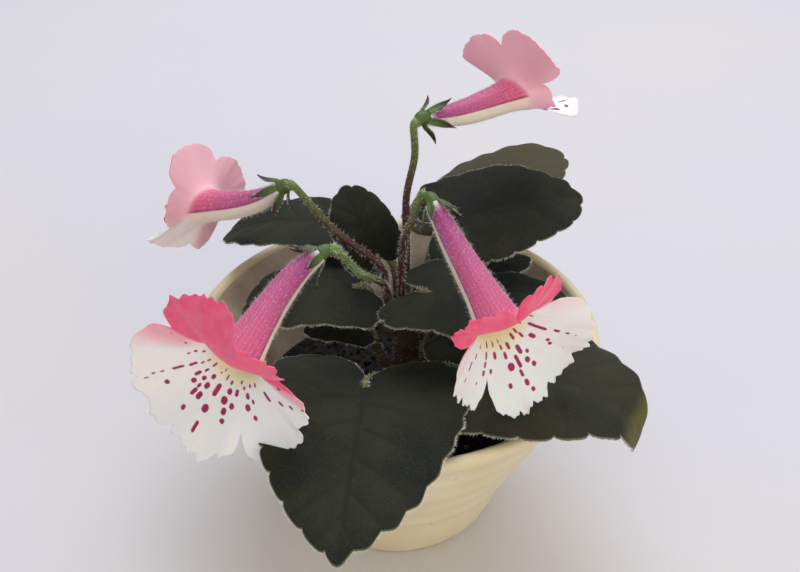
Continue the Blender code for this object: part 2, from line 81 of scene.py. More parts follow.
def lamp(name, place, size, power, colour):
    """A square lamp that looks at the middle of the plant."""
    light = bpy.data.objects.new(name, bpy.data.lights.new(name, "AREA"))
    light.data.size = size
    light.data.energy = power
    light.data.color = linear(colour)[:3]
    light.location = place
    light.rotation_euler = (Vector((0.0, 0.0, 0.06)) - light.location).to_track_quat("-Z", "Y").to_euler()
    bpy.context.scene.collection.objects.link(light)
    print("lamp", name, "gives", power, "watts")


bpy.context.scene.view_settings.view_transform = "Standard"
world = bpy.data.worlds.new("pale_sky")
world.use_nodes = True
sky = world.node_tree.nodes["Background"]
sky.inputs["Color"].default_value = linear("#EDEFF6")
sky.inputs["Strength"].default_value = 0.6
bpy.context.scene.world = world
lamp("window", (0.1, 0.42, 1.05), 0.9, 8.0, "#F6F7FF")
lamp("room", (0.45, -0.85, 0.5), 0.8, 3.4, "#FFEBD2")

# %% [markdown]
# ## How finishes are made
# Each finish is a Principled shader, which covers clay, cloth, skin and petal alike. One small helper adds a
# node with its settings and its links, so that a finish reads as a short list of steps. Patterns read Object
# coordinates, which never slide, or values that a mesh carries at its points.

# %% A helper for finishes
def finish_of(name, **sockets):
    """A new finish with a Principled shader, whose even values are set on its own sockets."""
    material = bpy.data.materials.new(name)
    material.use_nodes = True
    shader = material.node_tree.nodes["Principled BSDF"]
    for socket, value in sockets.items():
        shader.inputs[socket.replace("_", " ")].default_value = value
    return material


def add(material, kind, inputs=None, **settings):
    """Adds a node, sets its settings, and gives each input a value or a link."""
    made = material.node_tree.nodes.new("ShaderNode" + kind)
    for key, value in settings.items():
        setattr(made, key, value)
    for key, value in (inputs or {}).items():
        if isinstance(value, bpy.types.NodeSocket):
            material.node_tree.links.new(value, made.inputs[key])
        else:
            made.inputs[key].default_value = value
    return made


def blended(material, share, first, second):
    """The colour between two others, where share runs from 0 to 1."""
    return add(material, "Mix", {0: share, 6: first, 7: second}, data_type="RGBA").outputs[2]


def ramped(material, value, low, high):
    """A value turned to 0 at low and 1 at high."""
    return add(material, "MapRange", {"Value": value, "From Min": low, "From Max": high}).outputs[0]


def place_of(material):
    return add(material, "TexCoord").outputs["Object"]


def trait(material, name):
    """A value that the mesh carries at each of its points."""
    return add(material, "Attribute", attribute_name=name).outputs["Fac"]


def noise(material, size, detail=3.0, roughness=0.5):
    """Cloudy noise whose blotches are about size across, in metres."""
    inputs = {"Vector": place_of(material), "Scale": 1 / size, "Detail": detail, "Roughness": roughness}
    return add(material, "TexNoise", inputs).outputs["Fac"]


def into(material, colour=None, height=None, strength=1.0, distance=0.1 * MM, roughness=None):
    """Links a colour, a roughness and a relief into the shader."""
    shader = material.node_tree.nodes["Principled BSDF"]
    links = material.node_tree.links
    if colour is not None:
        links.new(colour, shader.inputs["Base Color"])
    if roughness is not None:
        links.new(roughness, shader.inputs["Roughness"])
    if height is not None:
        bump = add(material, "Bump", {"Height": height, "Strength": strength, "Distance": distance})
        links.new(bump.outputs[0], shader.inputs["Normal"])
    print("finish", material.name, "has", len(material.node_tree.nodes), "nodes")


# %% [markdown]
# ## The cloth underneath
# The plant stands on plain white cloth, which the photograph shows as a pale grey ground. One large plane is
# enough, because only its colour and the soft shadow on it are seen.

# %% Floor
# White cotton is quite matt. It drifts from a cool to a warm white, and its threads give a faint grain.
cloth = finish_of("white_cotton", Roughness=0.95)
drift = ramped(cloth, noise(cloth, 0.3), 0.35, 0.65)
into(cloth, blended(cloth, drift, linear("#D5D4DC"), linear("#DAD7D3")), noise(cloth, 0.9 * MM), 0.15)
bpy.ops.object.select_all(action="DESELECT")
bpy.ops.mesh.primitive_plane_add(size=6.0)
floor = bpy.context.object
floor.name = "floor"
floor.data.materials.append(cloth)

# %% [markdown]
# ## Curves and directions
# Stalks bend softly and leaves lean every way, so a few small helpers draw smooth curves through a handful of
# points, and turn a direction and an idea of up into three clean axes.

# %% Curves and axes
def smooth(value, low, high):
    """A soft step from 0 at low to 1 at high."""
    share = np.clip((value - low) / (high - low), 0, 1)
    return share * share * (3 - 2 * share)


def unit(vectors):
    return vectors / np.linalg.norm(vectors, axis=-1, keepdims=True)


def axes_of(forward, up):
    """Unit side, forward and normal vectors, with the normal as near to up as the forward line allows."""
    forward = unit(np.asarray(forward, dtype=float))
    side = unit(np.cross(forward, np.asarray(up, dtype=float)))
    return side, forward, unit(np.cross(side, forward))


def smooth_curve(points, count):
    """Points on a smooth curve through the given ones, as a Catmull-Rom spline."""
    points = np.asarray(points, dtype=float)
    ends = np.vstack([2 * points[:1] - points[1:2], points, 2 * points[-1:] - points[-2:-1]])
    along = np.clip(np.linspace(0, len(points) - 1, count + 1), 0, len(points) - 1 - 1e-9)
    i = along.astype(int)
    t = (along - i)[:, None]
    a, b, c, d = ends[i], ends[i + 1], ends[i + 2], ends[i + 3]
    bend = (2 * a - 5 * b + 4 * c - d) * t**2 + (3 * b - a - 3 * c + d) * t**3
    return 0.5 * (2 * b + (c - a) * t + bend)


# %% [markdown]
# ## Sheets
# Leaves and petals are curved sheets. A sheet starts as Blender's grid primitive, whose columns run round the
# shape and whose rows run outwards. A rule gives each point its place, the seam and the centre are merged,
# and Solidify gives the sheet its thickness, with one finish above and another beneath. This is quicker and
# more even than pulling the points by hand, and it leaves no open seam.

# %% Sheets
def carry(mesh, traits):
    """Gives a mesh named values, one for each of its points."""
    for name, values in traits.items():
        layer = mesh.attributes.new(name, "FLOAT", "POINT")
        layer.data.foreach_set("value", np.asarray(values, dtype=np.float32))


def apply_all(obj):
    bpy.ops.object.select_all(action="DESELECT")
    obj.select_set(True)
    bpy.context.view_layer.objects.active = obj
    for modifier in list(obj.modifiers):
        bpy.ops.object.modifier_apply(modifier=modifier.name)


def sheet(name, steps, rings, rule, thickness, finishes, facing, merge=0.01 * MM):
    """A thin curved sheet. rule(around, out) gives its points and traits, facing says where its top looks."""
    bpy.ops.object.select_all(action="DESELECT")
    bpy.ops.mesh.primitive_grid_add(x_subdivisions=steps, y_subdivisions=rings, size=1.0)
    obj = bpy.context.object
    obj.name = name
    mesh = obj.data
    flat = np.empty(len(mesh.vertices) * 3)
    mesh.vertices.foreach_get("co", flat)
    flat = flat.reshape(-1, 3) + 0.5
    spots, traits = rule(flat[:, 0], flat[:, 1])
    mesh.vertices.foreach_set("co", spots.ravel())
    carry(mesh, traits)
    for finish in finishes:
        mesh.materials.append(finish)
    bpy.ops.object.mode_set(mode="EDIT")
    bpy.ops.mesh.select_all(action="SELECT")
    bpy.ops.mesh.remove_doubles(threshold=merge)
    bpy.ops.object.mode_set(mode="OBJECT")
    middle = mesh.polygons[int(len(mesh.polygons) * 0.6)]
    if middle.normal.dot(Vector(facing)) < 0:
        mesh.flip_normals()
    wall = obj.modifiers.new("wall", "SOLIDIFY")
    wall.thickness = thickness
    wall.offset = 0.0
    wall.material_offset = 1
    apply_all(obj)
    mesh.shade_smooth()
    return obj


# %% [markdown]
# ## Stalks and hairs
# A stalk is a bevelled curve, because a curve keeps an even round section through every bend, and it is then
# made a mesh. A hair is a three-sided spike of four points: thousands of them stay light, and unlike particle
# hair they are still there when the model is exported.

# %% Stalks and hairs
def stalk(name, route, radii, finish, sides=10):
    """A round stalk along a route, whose points carry how far along it they are."""
    curve = bpy.data.curves.new(name, "CURVE")
    curve.dimensions = "3D"
    curve.bevel_depth = 1.0
    curve.bevel_resolution = sides // 2 - 2
    curve.use_fill_caps = True
    line = curve.splines.new("POLY")
    line.points.add(len(route) - 1)
    for point, place, radius in zip(line.points, route, radii):
        point.co = (*place, 1.0)
        point.radius = radius
    obj = bpy.data.objects.new(name, curve)
    bpy.context.scene.collection.objects.link(obj)
    bpy.ops.object.select_all(action="DESELECT")
    obj.select_set(True)
    bpy.context.view_layer.objects.active = obj
    bpy.ops.object.convert(target="MESH")
    obj = bpy.context.object
    bpy.ops.object.mode_set(mode="EDIT")
    bpy.ops.mesh.select_all(action="SELECT")
    bpy.ops.mesh.remove_doubles(threshold=0.001 * MM)
    bpy.ops.object.mode_set(mode="OBJECT")
    obj.data.materials.clear()
    obj.data.materials.append(finish)
    places = np.array([vert.co for vert in obj.data.vertices])
    nearest = np.linalg.norm(places[:, None] - np.asarray(route)[None], axis=2).argmin(axis=1)
    carry(obj.data, {"along": nearest / (len(route) - 1)})
    obj.data.shade_smooth()
    return obj


def hairs(name, roots, ways, width, finish):
    """Many fine hairs, each a three-sided spike from its root along its way."""
    forward = unit(ways)
    side = unit(np.cross(forward, np.where(np.abs(forward[:, 2:]) < 0.9, [[0, 0, 1.0]], [[1.0, 0, 0]])))
    other = np.cross(forward, side)
    corners = []
    for turn in (0.0, 2.094, 4.189):
        corners.append(roots + (side * math.cos(turn) + other * math.sin(turn)) * width / 2)
    points = np.stack([*corners, roots + ways], axis=1).reshape(-1, 3)
    first = np.arange(len(roots))[:, None] * 4
    faces = (first[:, None] + np.array([[[0, 1, 3], [1, 2, 3], [2, 0, 3], [2, 1, 0]]])).reshape(-1, 3)
    mesh = bpy.data.meshes.new(name)
    mesh.from_pydata(points.tolist(), [], faces.tolist())
    mesh.materials.append(finish)
    obj = bpy.data.objects.new(name, mesh)
    bpy.context.scene.collection.objects.link(obj)
    return obj


# %% [markdown]
# ## Handing a piece over
# Each finished piece stands for one piece of the plain model, which it hides. Its triangles are counted as it
# is handed over, so that none grows too heavy.

# %% Joining and settling
def joined(name, pieces):
    """Joins pieces into one object, which keeps all their finishes."""
    bpy.ops.object.select_all(action="DESELECT")
    for piece in pieces:
        piece.select_set(True)
    bpy.context.view_layer.objects.active = pieces[0]
    bpy.ops.object.join()
    obj = bpy.context.object
    obj.name = name
    return obj


def settle(obj, node):
    """Puts the finished piece under the root body, hides the plain node that it stands for, and prints its
    triangles.
    """
    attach(obj, "root")
    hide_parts(node)
    triangles = sum(len(face.vertices) - 2 for face in obj.data.polygons)
    print(node, "has", triangles, "triangles")


# %% [markdown]
# ## The pot
# The pot is thrown stoneware under a cream glaze. Glaze is a glass of about IOR 1.5, so it gets a thin clear
# coat over a slightly rougher body. Its faults make it look real: it pools and thins in faint rings where the
# potter's fingers ran, iron in the clay bleeds through as brown specks, and water has dulled it in places.

# %% Glaze
# The glaze gives the eye a warm, softly shining cream that is a little darker in its rings. The iron specks
# are under a millimetre across. A pattern of 5 mm cells scatters them, and about a third of its cells hold
# one.
glaze = finish_of("cream_stoneware_glaze", IOR=1.5, Coat_Weight=0.25, Coat_Roughness=0.2)
warm = blended(glaze, ramped(glaze, noise(glaze, 30 * MM), 0.35, 0.65), linear("#E2D5AC"), linear("#EBE0BE"))
rings = add(glaze, "TexWave", {"Vector": place_of(glaze), "Scale": 14.0, "Distortion": 1.5, "Detail": 1.0,
                               "Detail Scale": 1.0}, bands_direction="Z").outputs["Fac"]
faint = add(glaze, "Math", {0: rings, 1: 0.25}, operation="MULTIPLY").outputs[0]
warm = blended(glaze, faint, warm, linear("#D6C797"))
grains = add(glaze, "TexVoronoi", {"Vector": place_of(glaze), "Scale": 1 / (5 * MM)})
speck = ramped(glaze, grains.outputs["Distance"], 0.07, 0.04)
rare = ramped(glaze, add(glaze, "SeparateColor", {0: grains.outputs["Color"]}).outputs[0], 0.62, 0.64)
speck = add(glaze, "Math", {0: speck, 1: rare}, operation="MULTIPLY").outputs[0]
into(glaze, blended(glaze, speck, warm, linear("#6B5A44")), noise(glaze, 2.5 * MM), 0.12, 0.3 * MM,
     ramped(glaze, noise(glaze, 12 * MM), -0.6, 1.6))

# Inside, the glaze has lost its shine to water, and painted shade makes it darker and browner in blotches.
inside = finish_of("inner_glaze_painted_shade", IOR=1.5, Roughness=0.5)
blotch = ramped(inside, noise(inside, 9 * MM), 0.35, 0.7)
inner_shade_colour = blended(inside, blotch, linear("#D9CBB4"), linear("#B5A08A"))
into(inside, inner_shade_colour, noise(inside, 1.2 * MM), 0.2, 0.2 * MM)

# %% [markdown]
# ## The pot's shape
# The pot is wide at the rim, straight in the wall and narrow in the foot. It could be spun from a profile,
# but here a ring of points is filled, extruded and resized step by step, up the outside, over the lip and
# down the inside. This is how the clay was raised too, and it leaves neither a seam nor a pole.

# %% Pot shape
RIM, FOOT, WALL, HEIGHT = 55.0, 27.5, 3.0, 60.0
BELLY, BELLY_HEIGHT = 34.4, 18.0
LIP, LIP_HEIGHT = 2.2, 5.0


def wall_radius(z):
    """The flaring outer wall, with the faint rings of the potter's fingers."""
    share = (z - BELLY_HEIGHT) / (HEIGHT - LIP_HEIGHT - BELLY_HEIGHT)
    ring = 0.16 * math.sin(z * 0.72) + 0.05 * math.sin(z * 1.9 + 1.0)
    return BELLY + (RIM - LIP - BELLY) * share + ring * (1 if 0 < share < 1 else 0)


outline = [(FOOT - 1.5, 0.0), (FOOT - 0.4, 0.15), (FOOT, 0.8)]
outline += [(28.6, 2.2), (29.3, 4.0), (30.1, 6.0), (30.9, 8.0), (31.6, 10.4), (32.2, 13.0), (33.1, 15.4)]
outline += [(wall_radius(z), z) for z in np.arange(BELLY_HEIGHT, HEIGHT - LIP_HEIGHT, 1.0)]
for inset, drop in ((LIP, 5.0), (1.9, 4.65), (0.9, 4.1), (0.4, 3.4), (0.0, 1.8), (0.2, 1.0), (0.6, 0.4),
                    (1.6, 0.0), (2.3, 0.2), (2.8, 0.5), (3.3, 1.1), (3.6, 2.0)):
    outline.append((RIM - inset, HEIGHT - drop))
outline += [(wall_radius(z) - WALL - 0.05, z) for z in np.arange(HEIGHT - 6.0, BELLY_HEIGHT, -1.5)]
outline += [(29.2, 13.0), (25.7, 5.5), (23.0, 4.0)]


def turned_up(name, outline, steps):
    """A round solid raised from a filled ring by extruding and resizing it from one height to the next."""
    bpy.ops.object.select_all(action="DESELECT")
    bpy.ops.mesh.primitive_circle_add(vertices=steps, radius=outline[0][0] * MM, fill_type="NGON",
                                      location=(0.0, 0.0, outline[0][1] * MM))
    obj = bpy.context.object
    obj.name = name
    bpy.ops.object.transform_apply(location=True, rotation=True, scale=True)
    bpy.ops.object.mode_set(mode="EDIT")
    bpy.ops.mesh.select_all(action="SELECT")
    for (radius, z), (wider, higher) in zip(outline, outline[1:]):
        bpy.ops.mesh.extrude_region_move(TRANSFORM_OT_translate={"value": (0.0, 0.0, (higher - z) * MM)})
        bpy.ops.transform.resize(value=(wider / radius, wider / radius, 1.0))
    bpy.ops.mesh.select_all(action="SELECT")
    bpy.ops.mesh.normals_make_consistent(inside=False)
    bpy.ops.object.mode_set(mode="OBJECT")
    obj.data.shade_smooth()
    return obj


pot = turned_up("glazed_pot", outline, 160)
pot.data.materials.append(glaze)
pot.data.materials.append(inside)
# The inner wall and the inner floor of the pot take the finish with painted shade.
for face in pot.data.polygons:
    away = math.hypot(face.center.x, face.center.y)
    if face.center.z < 58.5 * MM and face.normal.x * face.center.x + face.normal.y * face.center.y < 0:
        face.material_index = 1
    if away < 25 * MM and face.center.z > 3 * MM:
        face.material_index = 1
settle(pot, "pot")

# %% [markdown]
# ## The soil
# Peat compost is nearly black, crumbly and matt, with paler grit. Its body is raised like the pot, its top is
# roughened point by point, and 900 crumbs, all copied from four rough lumps, lie on it. Real crumbs throw
# small shadows, which a bumpy shader alone would not.

# %% Peat finishes
# Damp peat gives the eye a dull near-black with browner crumbs in it.
peat = finish_of("damp_peat", Roughness=0.95)
crumb = blended(peat, ramped(peat, noise(peat, 1.6 * MM), 0.4, 0.65), linear("#1A1815"), linear("#34302A"))
into(peat, crumb, noise(peat, 0.8 * MM, 5.0), 0.8, 0.6 * MM)

# Pumice grit gives the eye small dry grey grains between the dark ones.
grit = finish_of("pumice_grit", Roughness=0.9)
grain = blended(grit, noise(grit, 0.7 * MM), linear("#8A8172"), linear("#5E564B"))
into(grit, grain, noise(grit, 0.5 * MM), 0.5)

# %% Peat bed and crumbs
SOIL = 34.0
CRUMBS, LUMPS = 900, 4
level = wall_radius(SOIL) - WALL - 0.6
outline = [(22.6, 4.4), (25.2, 6.6), (28.6, 13.3), (30.8, 19.0), (level, SOIL)]
outline += [(level * (40 - i) / 40, SOIL) for i in range(1, 40)]
soil = turned_up("peat_bed", outline, 120)
rng = np.random.default_rng(7)
for vert in soil.data.vertices:
    x, y, z = vert.co / MM
    away = math.hypot(x, y)
    if z > SOIL - 0.01 and away < level - 0.3:
        swell = 0.5 * math.sin(0.5 * x + 0.3 * y) * math.sin(0.4 * y - 0.2 * x + 1.0)
        swell += 0.35 * math.sin(1.7 * x - 1.3 * y)
        vert.co.z += (swell + rng.normal(0, 0.22)) * MM
soil.data.materials.append(peat)
lumps = []
for _ in range(LUMPS):
    bpy.ops.object.select_all(action="DESELECT")
    bpy.ops.mesh.primitive_ico_sphere_add(subdivisions=1, radius=1.0)
    lump = bpy.context.object
    corners = np.array([vert.co for vert in lump.data.vertices])
    corners = corners * rng.uniform(0.6, 1.2, (len(corners), 1))
    lumps.append((corners, [tuple(face.vertices) for face in lump.data.polygons]))
    bpy.data.objects.remove(lump)
points, faces, kinds = [], [], []
for i in range(CRUMBS):
    shape, sides = lumps[i % LUMPS]
    away, turn = (level - 1.2) * math.sqrt(rng.uniform(0.01, 1)), rng.uniform(0, 2 * math.pi)
    size = rng.uniform(0.35, 1.25) * (1.5 if i % 30 == 0 else 1)
    squash = rng.uniform(0.5, 1.0, 3)
    spot = np.array([away * math.cos(turn), away * math.sin(turn), SOIL + 0.35 * size])
    faces += [[index + len(points) for index in side] for side in sides]
    kinds += [1 if i % 16 == 0 else 0] * len(sides)
    points += ((shape * squash * size + spot) * MM).tolist()
crumbs = bpy.data.objects.new("crumbs", bpy.data.meshes.new("crumbs"))
crumbs.data.from_pydata(points, [], faces)
crumbs.data.materials.append(peat)
crumbs.data.materials.append(grit)
crumbs.data.polygons.foreach_set("material_index", kinds)
bpy.context.scene.collection.objects.link(crumbs)
settle(joined("peat_bed", [soil, crumbs]), "soil")

# %% [markdown]
# ## Hair and green skins
# Nearly every green part carries white hairs about a millimetre long, which catch the light at every edge.
# They are real spikes here and not a trick of the shader, so that they show in the meshes too. Under them lie
# four skins in browns and greens, for the stem, the two kinds of stalk and the sepals. Clouds or a change of
# colour along their length keep them from looking painted.

# %% Finishes of the green parts
# Plant hair gives the eye a bright thread. Real ones are about 0.05 mm thick, and most are drawn coarser here
# so that they show.
down = finish_of("white_plant_hair", Base_Color=linear("#F2EFE6"), Roughness=0.5, Subsurface_Weight=0.3,
                 Subsurface_Scale=0.3 * MM)

# The stem's young bark gives the eye a satin brown with olive clouds.
bark = finish_of("young_stem_skin", Roughness=0.55)
clouds = blended(bark, noise(bark, 3 * MM), linear("#4A3226"), linear("#3A3A22"))
into(bark, clouds, noise(bark, 0.6 * MM), 0.4)

# A leaf stalk goes from brown at the stem to olive at the blade, in soft patches.
leafstalk = finish_of("leaf_stalk_skin", Roughness=0.5, Subsurface_Weight=0.1, Subsurface_Scale=1 * MM)
green = blended(leafstalk, trait(leafstalk, "along"), linear("#5B4A2C"), linear("#73723F"))
patch = ramped(leafstalk, noise(leafstalk, 2 * MM), 0.4, 0.7)
into(leafstalk, blended(leafstalk, patch, green, linear("#4C4428")), noise(leafstalk, 0.4 * MM), 0.3)

# A flower stalk is red-brown below and fresh green under its flower.
flowerstalk = finish_of("flower_stalk_skin", Roughness=0.45, Subsurface_Weight=0.15, Subsurface_Scale=1 * MM)
upward = ramped(flowerstalk, trait(flowerstalk, "along"), 0.45, 0.88)
shade = blended(flowerstalk, upward, linear("#4A2C22"), linear("#6F8A3C"))
into(flowerstalk, shade, noise(flowerstalk, 0.4 * MM), 0.3)

# A sepal is leaf green, with the dark brown tip that the photograph shows.
sepalskin = finish_of("sepal_skin", Roughness=0.5, Subsurface_Weight=0.15, Subsurface_Scale=1 * MM)
tipward = ramped(sepalskin, trait(sepalskin, "along"), 0.2, 0.75)
green = blended(sepalskin, tipward, linear("#4B6628"), linear("#321D18"))
into(sepalskin, green, noise(sepalskin, 0.5 * MM), 0.4)

# %% [markdown]
# ## The stem
# All leaves and flowers spring from one short, thick stem. It is a stalk with a rounded top and slight
# swellings where old leaves fell, and every other stalk asks it where its side is, so that none floats.

# %% Stem
STEM_FOOT, STEM_TOP = np.array([3.0, 2.0, 22.0]), np.array([3.0, 3.0, 69.0])
STEM_WIDE, STEM_SLIM = 4.2, 3.2


def stem_point(height):
    """The stem's middle and its radius at a height."""
    share = (height - STEM_FOOT[2]) / (STEM_TOP[2] - STEM_FOOT[2])
    return STEM_FOOT + (STEM_TOP - STEM_FOOT) * share, STEM_WIDE + (STEM_SLIM - STEM_WIDE) * share


def leaving_stem(height, towards, radius):
    """Two points that lead straight out from the stem's side, towards a place."""
    centre, wide = stem_point(height)
    outward = unit(np.array([towards[0] - centre[0], towards[1] - centre[1], 0.0]))
    start = centre + outward * (wide - 0.4)
    return [start, start + outward * (2 * radius + 0.75)]


heights = np.linspace(0, 1, 48)
route = (STEM_FOOT + (STEM_TOP - STEM_FOOT) * heights[:, None]) * MM
swelling = 1 + 0.05 * np.sin(heights * 60)
rounding = np.minimum(1.0, 1.02 * (1 - heights) ** 0.22 + 0.1)
radii = (STEM_WIDE + (STEM_SLIM - STEM_WIDE) * heights) * swelling * rounding * MM
stem = stalk("short_stem", route, radii, bark, 20)
roots, ways = [], []
for i in range(500):
    h, turn = rng.uniform(0.3, 0.95), rng.uniform(0, 2 * math.pi)
    way = np.array([math.cos(turn), math.sin(turn), rng.uniform(-0.2, 0.5)])
    roots.append(STEM_FOOT + (STEM_TOP - STEM_FOOT) * h + way * [1, 1, 0] * (STEM_WIDE - 0.1 - h))
    ways.append(unit(way) * rng.uniform(0.6, 1.1))
stem_hairs = hairs("stem_hairs", np.array(roots) * MM, np.array(ways) * MM, 0.07 * MM, down)
settle(joined("short_stem", [stem, stem_hairs]), "stem")

# %% [markdown]
# ## The leaves
# A gloxinia leaf is a broad heart with a scalloped edge. The table gives each leaf's own place, tilt and
# size, and one rule draws them all, as one plant does. base is where the stalk meets the blade, tip is its
# far end, and normal is where its top looks. width is its breadth, teeth is its number of scallops, and lobe
# is how far the heart reaches back behind the stalk. arch, cup and droop are how high the midrib rises and
# how far the sides and the tip bend. node is the height at which the stalk leaves the stem, and path holds
# places that it passes. curl says from which share of its length the tip rolls under, and by how many
# degrees. pale is a share of faded olive, as on old leaves.

# %% Leaf table
ROUND_TIP = ((0, 1), (0.17, 0.985), (0.4, 0.93), (0.63, 0.82), (0.83, 0.65), (0.96, 0.42))
HALF_LEAF = ((0, 1), (0.12, 0.965), (0.31, 0.89), (0.55, 0.77), (0.77, 0.6), (0.93, 0.38), (1, 0.14),
             (0.97, -0.3), (0.8, -0.8), (0.52, -1), (0.25, -0.78), (0.07, -0.3), (0, 0))
LEAVES = {
    "leaf_front": dict(base=(-7, -27.3, 63.3), tip=(-12.5, -78, 54), normal=(0, 0, 1), width=51, lobe=12,
                       arch=4.5, cup=0.5, droop=1, teeth=26, node=44, path=((0, -12, 53),)),
    "leaf_front_right": dict(base=(14, -16, 59), tip=(66, -39, 58), normal=(0, 0.05, 1), width=54, lobe=12,
                             arch=6, cup=-2, droop=1.5, teeth=24, node=48, curl=(0.8, 108), pale=0.15),
    "leaf_right_back": dict(base=(13, 21, 79), tip=(52, 30, 83), normal=(0, -0.3, 1), width=33, lobe=6,
                            arch=3, cup=-1.5, droop=1, teeth=20, node=60),
    "leaf_back_right": dict(base=(14, 30, 71), tip=(50, 64, 79.5), normal=(0, -0.1, 1), width=32, lobe=5,
                            arch=3, cup=-1, droop=1, teeth=18, node=56, pale=0.7),
    "leaf_back": dict(base=(-5.5, 10, 76.5), tip=(-14, 18, 92.5), normal=(0.1, -0.8, 0.5), width=17.5, lobe=4,
                      arch=2, cup=-1.5, droop=0.5, teeth=16, node=63, path=((-3.5, 7.5, 70),)),
    "leaf_back_left": dict(base=(-14, 28, 73), tip=(-50.5, 34, 67.5), normal=(0, -0.02, 1), width=26, lobe=6,
                           arch=4, cup=-0.5, droop=1.5, teeth=18, node=57,
                           path=((0.5, 10, 66), (-2, 15, 72))),
    "leaf_left": dict(base=(-9, 6.5, 68), tip=(-42, 3.5, 63), normal=(0, -0.03, 1), width=31, lobe=5,
                      arch=3, cup=-1.5, droop=1.5, teeth=18, node=55),
    "leaf_top_right": dict(base=(7.5, -9, 78), tip=(29, -17, 72), normal=(0.1, -0.1, 1), width=29, lobe=8,
                           arch=3, cup=-1, droop=1, teeth=16, node=62, path=((8.5, -4, 70),)),
    "leaf_right": dict(base=(18, 4, 63), tip=(47, 11, 62.5), normal=(0, 0, 1), width=22, lobe=5,
                       arch=3, cup=-1, droop=1, teeth=14, node=59),
    "leaf_low_right": dict(base=(15, 20, 57), tip=(39, 32, 61), normal=(0, 0.1, 1), width=18, lobe=4,
                           arch=2, cup=-1, droop=1, teeth=14, node=51),
    "leaf_low_back": dict(base=(11, 17, 48), tip=(19, 41, 54), normal=(0, -0.1, 1), width=19, lobe=4,
                          arch=2, cup=-1, droop=1, teeth=14, node=40),
    "leaf_low_left": dict(base=(-9, 9, 52), tip=(-26, 10, 51), normal=(0, -0.1, 1), width=13, lobe=3,
                          arch=1.5, cup=-1, droop=1, teeth=12, node=42),
}

longest = max(LEAVES, key=lambda name: math.dist(LEAVES[name]["base"], LEAVES[name]["tip"]))
print(len(LEAVES), "leaves, of which", longest, "is the longest")

# %% [markdown]
# ## The leaves' finishes
# The upper side is velvet: nearly black green, matt, with a haze of fine hair that barely shines. The colour
# comes from large clouds of green and brown, painted shade along the sunken veins, and a painted highlight
# along the edge, where its hairs catch the light. The small cushions between the finest veins are about 2 mm
# across, which is a cell pattern's job. The underside is plainer.

# %% Leaf finishes
# The velvet gives the eye a soft dark that hardly mirrors anything, so its specular level is low. The hair
# dust of 0.35 mm is drawn coarser than the real one so that it shows.
velvet = finish_of("velvet_leaf_top", Roughness=0.75, Sheen_Weight=0.04, Sheen_Roughness=0.4,
                   Sheen_Tint=linear("#B9C2A8"), Specular_IOR_Level=0.22)
cloud = ramped(velvet, noise(velvet, 16 * MM), 0.38, 0.62)
dark = blended(velvet, cloud, linear("#181C17"), linear("#282A1A"))
dust = ramped(velvet, noise(velvet, 0.35 * MM), 0.52, 0.95)
dark = blended(velvet, dust, dark, linear("#43463A"))
# Painted shade along the sunken veins.
sunken = add(velvet, "Math", {0: trait(velvet, "vein"), 1: 0.45}, operation="MULTIPLY").outputs[0]
dark = blended(velvet, sunken, dark, linear("#191D15"))
dark = blended(velvet, trait(velvet, "pale"), dark, linear("#54503A"))
dark = blended(velvet, trait(velvet, "turned"), dark, linear("#5B5A2C"))
# A painted highlight along the edge, where the edge hairs catch the light.
dark = blended(velvet, ramped(velvet, trait(velvet, "margin"), 0.985, 1.0), dark, linear("#77755C"))
cells = {"Vector": place_of(velvet), "Scale": 1 / (2.2 * MM)}
net = add(velvet, "TexVoronoi", cells, feature="SMOOTH_F1").outputs["Distance"]
hollow = {0: net, 1: -0.8, 2: noise(velvet, 0.3 * MM)}
relief = add(velvet, "Math", hollow, operation="MULTIPLY_ADD").outputs[0]
into(velvet, dark, relief, 0.45, 0.25 * MM)

# The underside gives the eye a paler, slightly waxy olive, in which the veins stand out light.
olive = finish_of("leaf_underside", Roughness=0.6, Sheen_Weight=0.15, Subsurface_Weight=0.1,
                  Subsurface_Scale=1 * MM)
under = blended(olive, ramped(olive, noise(olive, 9 * MM), 0.35, 0.65), linear("#5A5630"), linear("#4A4A2E"))
under = blended(olive, trait(olive, "vein"), under, linear("#7A7448"))
into(olive, under, noise(olive, 1.0 * MM), 0.4, 0.2 * MM)

# %% [markdown]
# ## A leaf's outline
# Half an outline, mirrored and smoothed, gives the heart. The two broadest leaves end in more of a point than
# the others. The scallops are bumps along the edge, sharper in their clefts than on their backs and broader on
# one half of the leaf than on the other, and none is quite like the next.

# %% Leaf outline
def leaf_outline(around, spec):
    """A scalloped heart-shaped edge, from the notch at 0 round by the tip and back to the notch at 1."""
    length = np.linalg.norm(np.subtract(spec["tip"], spec["base"]))
    half = (HALF_LEAF[:6] if spec["width"] > 50 else ROUND_TIP) + HALF_LEAF[6:]
    curve = smooth_curve([(u, v) for u, v in reversed(half)] + [(-u, v) for u, v in half[1:]], 900)
    across = curve[:, 0] * spec["width"] / 2
    along = curve[:, 1] * np.where(curve[:, 1] > 0, length, spec["lobe"])
    steps = np.concatenate([[0.0], np.cumsum(np.hypot(np.diff(across), np.diff(along)))])
    at = around * steps[-1]
    from_notch = np.minimum(around, 1 - around) * 2
    uneven = 1 + 0.3 * np.sin(around * 23 + spec["teeth"])
    shift = np.sin(2 * math.pi * spec["teeth"] * around) * np.sign(0.5 - around)
    phase = around - 0.1 / spec["teeth"] * shift
    scallop = np.abs(np.cos(math.pi * spec["teeth"] * phase)) ** 0.7 - 0.66
    scallop = scallop * np.clip(from_notch * 8 - 0.6, 0, 1)
    return np.interp(at, steps, across), np.interp(at, steps, along), 1 + 0.042 * scallop * uneven


# %% [markdown]
# ## A leaf's veins
# The vein pattern is worked out in the leaf's own flat coordinates: across from -1 to 1, along from 0 at the
# stalk to 1 at the tip. Side veins leave the midrib at even steps and lean forward, and two more on each side
# run back into the lobes. Between them the blade swells into cushions.

